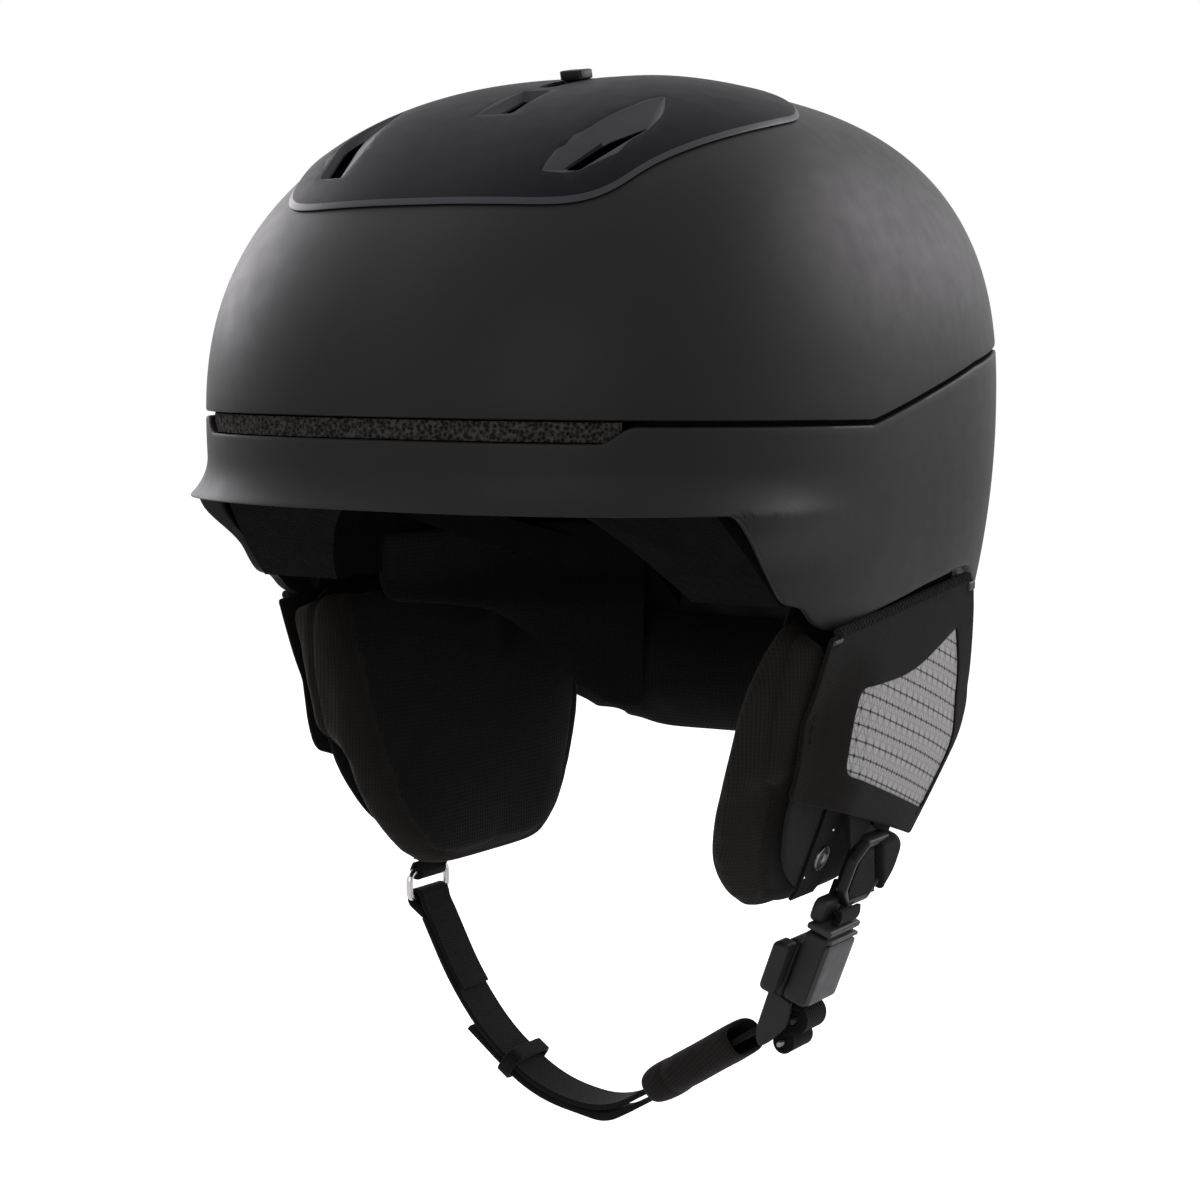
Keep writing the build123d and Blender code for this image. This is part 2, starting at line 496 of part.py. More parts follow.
def knuckle(x_low, x_high, radius):
    """Round across the helmet at the clip's pin."""
    return Pos((x_low + x_high) / 2, pin_y, pin_z) * Rot(0, 90, 0) * Cylinder(radius, x_high - x_low)


for x in (-CLIP_WIDTH / 2 + 2.0, CLIP_WIDTH / 2 - 2.0):
    base += box_between((x - 2.0, base_y + 1.0, pin_z - 2.0), (x + 2.0, pin_y, pin_z + 2.0))
    base += knuckle(x - 2.0, x + 2.0, CLIP_KNUCKLE_RADIUS)
post = box_between((-4.0, base_y + 1.0, CLIP_TOP - CLIP_LENGTH),
                   (4.0, clip_y - SOFT_GAP, CLIP_TOP - CLIP_LENGTH + 5.0))
pin_hole = knuckle(-30.0, 30.0, CLIP_PIN_RADIUS + 0.05)
keep("goggle_clip_base", base + post - pin_hole)
keep("goggle_clip_pin", knuckle(-CLIP_WIDTH / 2, CLIP_WIDTH / 2, CLIP_PIN_RADIUS))
clip_half = CLIP_WIDTH / 2 - 4.0 - FIT_GAP
clip = knuckle(-clip_half, clip_half, CLIP_KNUCKLE_RADIUS)
clip += box_between((-clip_half, clip_y, CLIP_TOP - 9.0), (clip_half, clip_y + CLIP_WALL, pin_z))
clip += box_between((-CLIP_WIDTH / 2, clip_y, CLIP_TOP - CLIP_LENGTH - 2.0),
                    (CLIP_WIDTH / 2, clip_y + CLIP_WALL, pin_z - CLIP_KNUCKLE_RADIUS - FIT_GAP))
keep("goggle_clip", clip - pin_hole)

# ---------------------------------------------------------------- ear pads

def cushion_level(z):
    """Front, rear, outer face and thickness of the cushion at a height, between the stated levels."""
    levels = CUSHION_LEVELS
    if z >= levels[0][0]:
        return levels[0][1:]
    for upper, lower in zip(levels, levels[1:]):
        if z >= lower[0]:
            t = (z - upper[0]) / (lower[0] - upper[0])
            return tuple(a + (b - a) * t for a, b in zip(upper[1:], lower[1:]))
    return levels[-1][1:]


def bend(y):
    """How far the pad draws in towards the head away from its middle."""
    return 0.0004 * min(y, 0.0) ** 2 + 0.0012 * max(y - 5.0, 0.0) ** 2


def cushion_section(z, front, rear, outer, wall):
    middle, half = (front + rear) / 2, (rear - front) / 2
    points = []
    for t in (-0.86, -0.45, 0.0, 0.45, 0.86):
        y = middle + half * t
        points.append((outer - bend(y) - (wall * 0.18 if abs(t) > 0.8 else 0.0), y, z))
    points.append((outer - bend(rear) - wall / 2, rear, z))
    for t in (0.86, 0.45, 0.0, -0.45, -0.86):
        y = middle + half * t
        points.append((outer - bend(y) - wall + (wall * 0.18 if abs(t) > 0.8 else 0.0), y, z))
    points.append((outer - bend(front) - wall / 2, front, z))
    return Wire([Spline(*points, periodic=True)])


def cushion_face(y, z):
    """Sideways distance of the cushion's outer face."""
    return cushion_level(z)[2] - bend(y)


def backing_face(y, z):
    return cushion_face(y, z) + 1.2


def flap_face(y, z):
    """Inner face of the flap: the straps pass between it and the backing, and its top meets the hinge line."""
    ease = min(max((y + 62.0) / 36.0, 0.0), 1.0)
    rise = min(max((z + 92.0) / 28.0, 0.0), 1.0)
    low = cushion_face(y, z) + 3.2 + 7.8 * ease * ease * (3 - 2 * ease)
    return low + (HINGE_X + 0.2 - low) * rise


def pad_sheet(levels, front, rear, inner_face, wall):
    """Curved sheet outside the cushion, lofted between levels, with its inner face at inner_face(y, z)."""
    wires = []
    for z in levels:
        ys = [front + (rear - front) * i / 8 for i in range(9)]
        inside = [(inner_face(y, z), y, z) for y in ys]
        outside = [(x + wall, y, z) for x, y, z in reversed(inside)]
        wires.append(Wire([Spline(*inside), Line(inside[-1], outside[0]), Spline(*outside),
                           Line(outside[-1], inside[0])]))
    return Solid.make_loft(wires)


pad_levels = [-50.0, -60.0, -72.0, -85.0, -100.0, -115.0, -130.0, -145.0]
cushion = Solid.make_loft([cushion_section(*level) for level in CUSHION_LEVELS])


def gusset_section(z, front, rear):
    """Level section of the filled space between the cushion and the flap's front part."""
    ys = [rear, (rear + front) / 2, front + 3.5]
    points = [(flap_face(y, z) - SOFT_GAP, y, z) for y in ys]
    points.append((points[-1][0] - 2.5, front, z))
    points += [(cushion_face(front, z) - 6.0, front, z), (cushion_face(rear, z) - 6.0, rear, z)]
    return Wire(Polyline(*points, close=True).edges())


cushion += Solid.make_loft([gusset_section(*level) for level in GUSSET_LEVELS])
backing = pad_sheet([-66.0, -85.0, -100.0, -115.0, -130.0, -145.0, -156.0], -58.0, 62.0,
                    backing_face, BACKING_WALL)
backing &= side_cut([(-42.0, -67.0), (56.0, -67.0), (58.0, -112.0), (40.0, -140.0), (16.0, -153.0),
                     (-24.0, -152.0), (-44.0, -140.0), (-56.0, -118.0)])
flap_blank = pad_sheet(pad_levels, -66.0, 60.0, flap_face, FLAP_WALL)
window_blank = pad_sheet(pad_levels, -66.0, 60.0, lambda y, z: flap_face(y, z) + (FLAP_WALL - WINDOW_WALL) / 2,
                         WINDOW_WALL)
flap = flap_blank & side_prism(FLAP_OUTLINE, 40.0, 130.0)
flap -= side_prism(WINDOW_OUTLINE, 40.0, 130.0)
window = window_blank & side_prism(WINDOW_OUTLINE, 40.0, 130.0)

tilt = radians(BUCKLE_TILT)
down = Vector(-sin(tilt), 0, -cos(tilt))
outward = Vector(cos(tilt), 0, -sin(tilt))


def octagon(width, height, cut):
    w, h = width / 2, height / 2
    return make_face(Polyline((-w, -h + cut), (-w + cut, -h), (w - cut, -h), (w, -h + cut), (w, h - cut),
                              (w - cut, h), (-w + cut, h), (-w, h - cut), close=True))


divider_centre = Vector(DIVIDER_X, 0.0, DIVIDER_Z)
divider_plane = Plane(origin=divider_centre, x_dir=(0, 1, 0), z_dir=outward)
divider_hole = octagon(DIVIDER_WIDTH - 2 * DIVIDER_RIM, DIVIDER_HEIGHT - 2 * DIVIDER_RIM, 4.0)
divider = divider_plane * Pos(0, 0, STRAP_WALL + SOFT_GAP) * extrude(
    octagon(DIVIDER_WIDTH, DIVIDER_HEIGHT, 6.0) - divider_hole, 3.5)
web_width, web_height = 22.0, DIVIDER_HEIGHT - 0.6
divider_web = divider_plane * extrude(octagon(web_width, web_height, 2.0), STRAP_WALL)
web_middle = divider_centre + outward * (STRAP_WALL / 2)
web_top = web_middle - down * (web_height / 2 + FIT_GAP)
web_bottom = web_middle + down * (web_height / 2 + FIT_GAP)
side_step = SIDE_STRAP_WIDTH / 2 + SOFT_GAP
floor_down = Vector(0, 0, -1)
front_strap = webbing(Vector(*FRONT_HANGER), floor_down, web_top - Vector(0, side_step, 0), down,
                      SIDE_STRAP_WIDTH, SIDE_STRAP_WALL)
rear_strap = webbing(Vector(*REAR_HANGER), floor_down, web_top + Vector(0, side_step, 0), down,
                     SIDE_STRAP_WIDTH, SIDE_STRAP_WALL)

snap_y, snap_z = -20.0, -141.0
snap_x = backing_face(snap_y, snap_z) + BACKING_WALL + 1.4
snap_plane = Plane(origin=(snap_x, snap_y, snap_z), x_dir=(0, 1, 0), z_dir=outward)
snap = snap_plane * (Cylinder(4.2, 1.6) - Cylinder(2.2, 5.0))
snap += snap_plane * Pos(0, 0, -0.4) * Cylinder(3.0, 0.8)

hangers = []
for x, y, z in (FRONT_HANGER, REAR_HANGER):
    block = box_between((x - 2.5, y - 8.5, z + HANGER_DROP), (x + 2.2, y + 8.5, z + 14.0))
    rivet = cylinder_between((x + 2.0, y, z + 9.0), (x + 20.0, y, z + 9.0), 2.5)
    hangers.append((block + rivet) & shell_dome(SHELL_WALL + 0.15))
hanger_pair = Compound(children=hangers)

for side, shapes in (("left", lambda shape: shape), ("right", lambda shape: mirror(shape, about=Plane.YZ))):
    keep("ear_pad_" + side, shapes(cushion))
    keep("ear_backing_" + side, shapes(backing))
    keep("ear_flap_" + side, shapes(flap))
    keep("ear_window_" + side, shapes(window))
    keep("front_strap_" + side, shapes(front_strap))
    keep("rear_strap_" + side, shapes(rear_strap))
    keep("strap_divider_" + side, shapes(divider))
    keep("divider_web_" + side, shapes(divider_web))
    keep("strap_snap_" + side, shapes(snap))
    keep("strap_hangers_" + side, shapes(hanger_pair))

# ---------------------------------------------------------------- buckle

def buckle_point(along, across, out):
    """Point at a distance down the buckle, backwards and outwards from its middle."""
    centre = Vector(BUCKLE_X, CHIN_Y, BUCKLE_Z)
    return centre + down * along + Vector(0, across, 0) + outward * out


buckle_plane = Plane(origin=(BUCKLE_X, CHIN_Y, BUCKLE_Z), x_dir=(0, 1, 0), z_dir=outward)


def buckle_box(along, across, out):
    """Box in the buckle's own directions, each given as (low, high)."""
    low = (across[0], -along[1], out[0])
    high = (across[1], -along[0], out[1])
    return buckle_plane * box_between(low, high)


def key_ring(half, depth, base, spread):
    """Wedge-shaped key that curves about the chin strap's turning axis."""
    corners = [(-half, -base), (half, -base), (half - depth * 0.9, depth), (-half + depth * 0.9, depth)]
    points = []
    for along, out in corners:
        place = buckle_point(along, 0, out - SOCKET_WALL / 2)
        points.append((place.X - RING_X, place.Z))
    plane = Plane(origin=(RING_X, CHIN_Y, 0), x_dir=(1, 0, 0), z_dir=(0, -1, 0))
    face = plane * make_face(Polyline(*points, close=True))
    axis = Axis((RING_X, CHIN_Y, 0), (0, 0, 1))
    return revolve(face.rotate(axis, -spread), axis, 2 * spread)


half_socket = SOCKET_WIDTH / 2
socket = buckle_box((-SOCKET_LENGTH / 2, SOCKET_LENGTH / 2), (-half_socket, half_socket),
                    (-SOCKET_WALL / 2, SOCKET_WALL / 2 - 1.2))
socket -= key_ring(KEY_WIDTH / 2 + KEY_GAP, KEY_DEPTH + KEY_GAP, 2.0, 8.0)
socket_magnet = buckle_plane * Pos(0, 0, 1.5) * Cylinder(MAGNET_RADIUS, MAGNET_WALL)
keep("buckle_socket", socket - socket_magnet)
keep("socket_magnet", socket_magnet)
face_plate = buckle_box((-SOCKET_LENGTH / 2 + 2.5, SOCKET_LENGTH / 2 - 1.0),
                        (-half_socket + 1.0, half_socket - 1.0), (SOCKET_WALL / 2 - 1.2, SOCKET_WALL / 2))
keep("buckle_face", face_plate)

slide_top = -SOCKET_WALL / 2 - KEY_GAP
slide_low = slide_top - SLIDE_WALL
leg_start = SOCKET_LENGTH / 2 + 3.0
slide = buckle_box((SLIDE_TOP, SLIDE_REACH), (-SLIDE_HALF_WIDTH, SLIDE_HALF_WIDTH), (slide_low, slide_top))
slide += buckle_box((SLIDE_TOP + 1.0, 12.0), (-SLIDE_HALF_WIDTH - 8.0, -SLIDE_HALF_WIDTH + 1.0),
                    (slide_low - 2.0, slide_top - 1.5))
slide += key_ring(KEY_WIDTH / 2, KEY_DEPTH, KEY_GAP + 1.0, 3.8)
for low in (-SLIDE_HALF_WIDTH, SLIDE_HALF_WIDTH - 2.5):
    slide += buckle_box((leg_start, SLIDE_REACH), (low, low + 2.5), (slide_top - 1.0, slide_top + 9.0))
slide_magnet = buckle_plane * Pos(0, 0, slide_top - SLIDE_WALL / 2) * Cylinder(MAGNET_RADIUS, MAGNET_WALL)
bars = []
for along, out in ((leg_start + 4.5, 5.5), (leg_start + 12.0, 4.5)):
    ends = [buckle_point(along, side * (SLIDE_HALF_WIDTH - 1.0), slide_top + out) for side in (-1, 1)]
    bars.append(cylinder_between(*ends, BAR_RADIUS))
for bar in bars:
    slide += bar
keep("buckle_slide", slide - slide_magnet)
keep("slide_magnet", slide_magnet)
sleeves = []
for along, out in ((leg_start + 4.5, 5.5), (leg_start + 12.0, 4.5)):
    ends = [buckle_point(along, side * (SLIDE_HALF_WIDTH - 3.0), slide_top + out) for side in (-1, 1)]
    sleeves.append(cylinder_between(*ends, BAR_RADIUS + SOFT_GAP + STRAP_WALL)
                   - cylinder_between(*ends, BAR_RADIUS + SOFT_GAP))
keep("adjuster_web", sleeves[0] + sleeves[1])
keep("lower_strap_left", webbing(web_bottom, down, buckle_point(-SOCKET_LENGTH / 2 - SOFT_GAP, 0, 0), down,
                                 STRAP_WIDTH - 2, STRAP_WALL))

# ---------------------------------------------------------------- chin strap

ring_top = RING_Z + RING_HEIGHT / 2
ring_outer = RectangleRounded(2 * RING_HALF_WIDTH, RING_HEIGHT, 4.0)
ring_inner = RectangleRounded(2 * RING_HALF_WIDTH - 4 * RING_WIRE, RING_HEIGHT - 4 * RING_WIRE, 2.0)
ring_plane = Plane(origin=(RING_X, CHIN_Y, RING_Z), x_dir=(0, 1, 0), z_dir=(1, 0, 0))
ring = ring_plane * extrude(ring_outer - ring_inner, RING_WIRE, both=True)
keep("strap_ring", ring)

cut_z = ring_top + 1.3
cut_point = Vector(RING_X, CHIN_Y, cut_z + SOFT_GAP)
right_bottom = Vector(-web_bottom.X, web_bottom.Y, web_bottom.Z)
right_down = Vector(-down.X, 0, down.Z)
keep("lower_strap_right", webbing(right_bottom, right_down, cut_point, floor_down,
                                  STRAP_WIDTH - 2, STRAP_WALL))


def ring_sleeve(half_width, half_wall, z_low, z_high, open_low, open_high):
    """Flattened loop of webbing round one bar of the ring."""
    inner = half_wall - STRAP_WALL
    sleeve = box_between((RING_X - half_wall, CHIN_Y - half_width, z_low),
                         (RING_X + half_wall, CHIN_Y + half_width, z_high))
    opening = box_between((RING_X - inner, CHIN_Y - 20.0, open_low),
                          (RING_X + inner, CHIN_Y + 20.0, open_high))
    return sleeve - opening


bar_top, bar_low = ring_top - RING_WIRE, RING_Z - RING_HEIGHT / 2 + RING_WIRE
keep("ring_loop", ring_sleeve((STRAP_WIDTH - 3.0) / 2, 3.6, bar_top - 3.3, cut_z, bar_top - 1.7,
                              bar_top + 1.6))
bar_axis = Axis((RING_X, CHIN_Y, bar_low), (0, 1, 0))
chin_loop = ring_sleeve((STRAP_WIDTH - 1.0) / 2, 4.2, bar_low - LOOP_LENGTH, bar_low + 4.2, bar_low - 6.0,
                        bar_low + 2.4)
chin_loop = chin_loop.rotate(bar_axis, -LOOP_LEAN)


def strap_along(route, width, wall):
    """Flat strap swept along straight runs joined by arcs as large as the runs allow."""
    radii = []
    for before, corner, after in zip(route, route[1:], route[2:]):
        run_in, run_out = Vector(*corner) - Vector(*before), Vector(*after) - Vector(*corner)
        half_turn = radians(run_in.get_angle(run_out) / 2)
        radii.append(0.45 * min(run_in.length, run_out.length) * cos(half_turn) / sin(half_turn))
    front_plane = Plane(origin=(0, CHIN_Y, 0), x_dir=(1, 0, 0), z_dir=(0, -1, 0))
    path = front_plane * FilletPolyline(*route, radius=radii)
    start = Plane(origin=path @ 0, x_dir=(0, 1, 0), z_dir=path % 0)
    return sweep(start * Rectangle(width, wall), path=path)


keep("chin_strap", chin_loop + strap_along(CHIN_ROUTE, STRAP_WIDTH, STRAP_WALL))
keep("strap_tail", strap_along(TAIL_ROUTE, STRAP_WIDTH, STRAP_WALL))

keeper_run = Vector(*CHIN_ROUTE[3]) - Vector(*CHIN_ROUTE[2])
keeper_lean = degrees(atan2(-keeper_run.Y, keeper_run.X))
keeper_shape = Box(5.0, STRAP_WIDTH + 5.0, 10.0) - Box(10.0, STRAP_WIDTH + 1.4, 6.8)
keep("strap_keeper", Pos(KEEPER_X, CHIN_Y, KEEPER_Z) * Rot(0, keeper_lean, 0) * keeper_shape)

sleeve_rise = atan2(CHIN_ROUTE[-1][1] - CHIN_ROUTE[-2][1], CHIN_ROUTE[-1][0] - CHIN_ROUTE[-2][0])
sleeve_mid = SLEEVE_START + SLEEVE_LENGTH / 2
sleeve_place = (Pos(CHIN_ROUTE[-2][0], CHIN_Y, CHIN_ROUTE[-2][1]) * Rot(0, -degrees(sleeve_rise), 0)
                * Pos(sleeve_mid, 0, 0))
sleeve = Box(SLEEVE_LENGTH, STRAP_WIDTH + 7.0, SLEEVE_WALL)
sleeve = fillet(sleeve.edges().filter_by(Axis.X), 5.0)
sleeve -= Box(SLEEVE_LENGTH + 10.0, STRAP_WIDTH + 1.4, STRAP_WALL + 1.4)
keep("chin_sleeve", sleeve_place * sleeve)

for name, shape in parts.items():
    solids = shape.solids()
    export_step(shape if len(solids) > 1 else solids[0], "parts/" + name + ".step")
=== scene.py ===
from contextlib import contextmanager
from math import atan2, cos, pi, radians, sin, sqrt

import bmesh
import bpy
import numpy as np
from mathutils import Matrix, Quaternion, Vector, noise
from mathutils.geometry import delaunay_2d_cdt


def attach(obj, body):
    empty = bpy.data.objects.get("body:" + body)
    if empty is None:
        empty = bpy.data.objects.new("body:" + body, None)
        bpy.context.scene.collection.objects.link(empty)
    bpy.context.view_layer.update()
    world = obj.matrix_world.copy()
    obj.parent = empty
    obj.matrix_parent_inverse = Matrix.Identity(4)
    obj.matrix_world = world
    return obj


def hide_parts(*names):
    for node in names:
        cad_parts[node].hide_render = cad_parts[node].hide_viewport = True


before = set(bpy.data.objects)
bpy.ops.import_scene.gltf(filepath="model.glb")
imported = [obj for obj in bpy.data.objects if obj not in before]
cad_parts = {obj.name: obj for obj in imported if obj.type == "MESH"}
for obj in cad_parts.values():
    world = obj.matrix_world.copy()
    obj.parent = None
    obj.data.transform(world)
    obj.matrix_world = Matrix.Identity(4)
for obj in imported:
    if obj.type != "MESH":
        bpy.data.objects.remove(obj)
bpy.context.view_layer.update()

# A ski helmet. Shapes are written in millimetres in the CAD model's frame and scaled once, in make_mesh.
# The camera and the lights are placed in metres.
MM = 0.001
ACROSS = Vector((0, 1, 0))
SIDES = ((1, "left"), (-1, "right"))

# ---------------------------------------------------------------- camera and light

CAMERA_PLACE, CAMERA_TARGET = (0.41781, -0.73548, 0.01491), (-0.00792, -0.00867, -0.06396)
CAMERA_ROLL, CAMERA_LENS, CAMERA_SENSOR = radians(0.64), 74.7, 36.0
# Name, place, height of its target, size, power and colour of each area light.
LAMPS = [("left_softbox", (-1.6, 0.25, 0.72), 0.03, (1.2, 0.9), 22.0, (0.98, 0.95, 1.0)),
         ("right_softbox", (0.8, 1.4, 0.72), 0.03, (1.2, 0.9), 12.5, (1.0, 0.95, 1.0)),
         ("front_fill", (0.6, -1.7, 0.5), -0.05, (1.2, 1.2), 6.0, (1.0, 1.0, 1.0)),
         ("low_fill", (0.5, -1.1, -0.7), -0.15, (1.0, 0.7), 3.0, (1.0, 1.0, 1.0))]
AMBIENT_LEVEL, WHITE = 0.75, (1.0, 1.0, 1.0)
FLOOR_LEVEL, FLOOR_REACH, FLOOR_COLOUR, FLOOR_GLOW = -345.0, 12000.0, (0.8, 0.8, 0.8), 0.45


def link_object(name, data):
    made = bpy.data.objects.new(name, data)
    bpy.context.scene.collection.objects.link(made)
    return made


def aim(thing, place, target, roll=0.0):
    thing.location = place
    thing.rotation_mode = "QUATERNION"
    turn = (Vector(target) - Vector(place)).to_track_quat("-Z", "Y")
    thing.rotation_quaternion = turn @ Quaternion((0, 0, 1), roll)


def add_camera():
    data = bpy.data.cameras.new("camera")
    data.lens, data.sensor_width = CAMERA_LENS, CAMERA_SENSOR
    camera = link_object("camera", data)
    aim(camera, CAMERA_PLACE, CAMERA_TARGET, CAMERA_ROLL)
    bpy.context.scene.camera = camera


def add_lights():
    for name, place, height, size, power, colour in LAMPS:
        data = bpy.data.lights.new(name, "AREA")
        data.shape, data.energy, data.color = "RECTANGLE", power, colour
        data.size, data.size_y = size
        aim(link_object(name, data), place, (0, 0, height))


def add_world():
    """White for camera, mirror and glass rays; a plain level of light for everything else."""
    world = bpy.data.worlds.new("studio")
    bpy.context.scene.world = world
    m = Nodes(world)
    m.tree.nodes.clear()
    rays = m.node("LightPath").outputs
    white = m.maths("MAXIMUM", rays["Is Glossy Ray"], rays["Is Transmission Ray"])
    lit, seen = (m.node("Background", {"Color": WHITE, "Strength": level}).outputs[0]
                 for level in (AMBIENT_LEVEL, 1.0))
    mix = m.node("MixShader", {"Fac": m.maths("MAXIMUM", rays["Is Camera Ray"], white), 1: lit, 2: seen})
    m.node("OutputWorld", {"Surface": mix.outputs[0]})


def add_floor():
    """Pale level floor, lit from above; for the camera it also glows, so only the shadow shows."""
    m = Nodes(bpy.data.materials.new("pale_floor"))
    m.tree.nodes.remove(m.shader)
    glow = m.maths("MULTIPLY", m.node("LightPath").outputs["Is Camera Ray"], FLOOR_GLOW)
    both = m.node("AddShader", {0: m.node("BsdfDiffuse", {"Color": FLOOR_COLOUR}).outputs[0],
                                1: m.node("Emission", {"Strength": glow}).outputs[0]})
    m.feed(m.tree.nodes["Material Output"].inputs["Surface"], both.outputs[0])
    corners = [(x * FLOOR_REACH, y * FLOOR_REACH, FLOOR_LEVEL) for x, y in ((-1, -1), (1, -1), (1, 1), (-1, 1))]
    mesh = make_mesh("floor", corners, [(0, 1, 2, 3)])
    mesh.materials.append(m.owner)
    link_object("floor", mesh)


# ---------------------------------------------------------------- material helpers

class Term:
    """One output of a node, with arithmetic that adds Math nodes."""

    def __init__(self, nodes, socket):
        self.nodes, self.socket = nodes, socket

    def maths(self, operation, *others):
        return self.nodes.maths(operation, self, *others)

    def __add__(self, other):
        return self.maths("ADD", other)

    def __sub__(self, other):
        return self.maths("SUBTRACT", other)

    def __rsub__(self, other):
        return self.nodes.maths("SUBTRACT", other, self)

    def __mul__(self, other):
        return self.maths("MULTIPLY", other)

    def __truediv__(self, other):
        return self.maths("DIVIDE", other)


class Nodes:
    """Node tree of a material or a world, with short calls for the nodes that the finishes share."""
    SOCKETS = {"colour": "Base Color", "roughness": "Roughness", "metallic": "Metallic", "normal": "Normal",
               "sheen": "Sheen Weight", "sheen_roughness": "Sheen Roughness", "specular": "Specular IOR Level"}

    def __init__(self, owner):
        owner.use_nodes = True
        self.owner, self.tree = owner, owner.node_tree
        self.shader = self.tree.nodes.get("Principled BSDF")

    def feed(self, socket, value):
        """Link a socket to another node's output, or set the socket's own fixed value."""
        value = getattr(value, "socket", value)
        if isinstance(value, bpy.types.NodeSocket):
            self.tree.links.new(value, socket)
        else:
            socket.default_value = (*value, 1.0) if isinstance(value, tuple) else value

    def node(self, kind, inputs=(), **settings):
        made = self.tree.nodes.new("ShaderNode" + kind)
        for key, value in settings.items():
            setattr(made, key, value)
        for key, value in dict(inputs).items():
            self.feed(made.inputs[key], value)
        return made

    def term(self, kind, output, inputs, **settings):
        return Term(self, self.node(kind, inputs, **settings).outputs[output])

    def maths(self, operation, *values):
        return self.term("Math", 0, enumerate(values), operation=operation)

    def place(self, kind="Object"):
        return self.node("TexCoord").outputs[kind]

    def axes(self, kind="Object"):
        return [Term(self, part) for part in self.node("SeparateXYZ", {0: self.place(kind)}).outputs]

    def noise(self, scale, detail=3.0, roughness=0.5):
        return self.term("TexNoise", "Fac", {"Scale": scale, "Detail": detail, "Roughness": roughness,
                                             "Vector": self.place()})

    def cells(self, scale, feature="F1"):
        return self.term("TexVoronoi", "Distance", {"Scale": scale, "Vector": self.place()}, feature=feature)

    def ramp(self, source, *stops):
        """Colour ramp from stops given as place, colour, place, colour and so on; a number means a grey."""
        made = self.node("ValToRGB", {"Fac": source})
        elements, count = made.color_ramp.elements, len(stops) // 2
        while len(elements) < count:
            elements.new(0.5)
        for element, place, colour in zip(elements, stops[::2], stops[1::2]):
            element.position = place
            element.color = (*colour, 1.0) if isinstance(colour, tuple) else (colour, colour, colour, 1.0)
        return Term(self, made.outputs["Color"])

    def mix(self, share, first, second):
        return self.term("Mix", "Result", {"Factor": share, "A": first, "B": second}, data_type="RGBA")

    def bump(self, height, distance, strength, before=None):
        inputs = {"Strength": strength, "Distance": distance, "Height": height}
        return self.term("Bump", "Normal", inputs if before is None else {**inputs, "Normal": before})

    def finish(self, **values):
        """Feed the shader's own sockets and hand the material over."""
        for key, value in values.items():
            self.feed(self.shader.inputs[self.SOCKETS[key]], value)
        return self.owner


def fresh(name):
    return Nodes(bpy.data.materials.new(name))


def shade(colour, factor):
    return tuple(channel * factor for channel in colour)


def moulded_plastic(name, colour, roughness, grain=1400.0, mottle=0.12, specular=0.15):
    """Matt plastic with a fine spark-eroded grain and slightly uneven gloss."""
    m = fresh(name)
    return m.finish(
        colour=m.ramp(m.noise(60.0, 4.0), 0.3, shade(colour, 1 - mottle), 0.7, shade(colour, 1 + mottle)),
        roughness=m.ramp(m.noise(240.0), 0.3, roughness - 0.05, 0.7, roughness + 0.05),
        normal=m.bump(m.noise(grain, 4.0, 0.7), 0.00002, 0.6), specular=specular)


def shell_paint(name, colour, roughness, specular=0.14):
    """Soft-touch paint over a shell: very fine texture, faint cloudiness and dust-like specks."""
    m = fresh(name)
    specks = m.ramp(m.cells(900.0), 0.0, 1.0, 0.09, 0.0)
    base = m.ramp(m.noise(25.0, 5.0), 0.25, shade(colour, 0.93), 0.75, shade(colour, 1.07))
    fine = m.bump(m.noise(2600.0, 2.0, 0.6), 0.000012, 0.5)
    return m.finish(colour=m.mix(specks * 0.06, base, shade(colour, 3.0)),
                    roughness=m.ramp(m.noise(140.0, 4.0), 0.3, roughness - 0.025, 0.7, roughness + 0.025),
                    normal=m.bump(m.noise(420.0), 0.00003, 0.35, fine), specular=specular)


def knit_fabric(name, colour, pitch, relief):
    """Knitted lining: columns of loops, each loop a small rounded bump, with fibre noise over them."""
    m = fresh(name)
    x, y, z = m.axes()
    turn = 2 * pi / pitch
    column = ((x + y) * (turn * 0.5)).maths("SINE").maths("ABSOLUTE")
    row = (z * (turn * 1.15) + column * 1.4).maths("SINE").maths("MULTIPLY_ADD", 0.5, 0.5)
    height = column + row * 0.6 + m.noise(5200.0) * 0.5
    return m.finish(colour=m.ramp(height, 0.35, shade(colour, 0.65), 1.0, colour, 1.0, shade(colour, 1.25)),
                    normal=m.bump(height, relief, 0.8, m.bump(m.noise(45.0), 0.0008, 0.25)),
                    roughness=0.92, sheen=0.03, sheen_roughness=0.45, specular=0.05)


def woven_cloth(name, colour, pitch, relief=0.0002):
    """Plain weave: warp and weft cross over and under each other, with slubs and faint creases."""
    m = fresh(name)
    x, y, z = m.axes()
    warp, weft = (along.maths("SINE") for along in ((x + y) * (pi / pitch), z * (pi / pitch)))
    thread = (warp * weft).maths("MULTIPLY_ADD", 0.5, 0.5) + m.noise(1500.0) * 0.5
    level = thread * 0.5 + m.noise(180.0, 4.0) * 0.5
    return m.finish(colour=m.ramp(level, 0.25, shade(colour, 0.6), 0.75, shade(colour, 1.35)),
                    normal=m.bump(thread, relief, 0.7, m.bump(m.noise(38.0, 4.0), 0.0012, 0.25)),
                    roughness=0.88, sheen=0.03, sheen_roughness=0.5, specular=0.06)


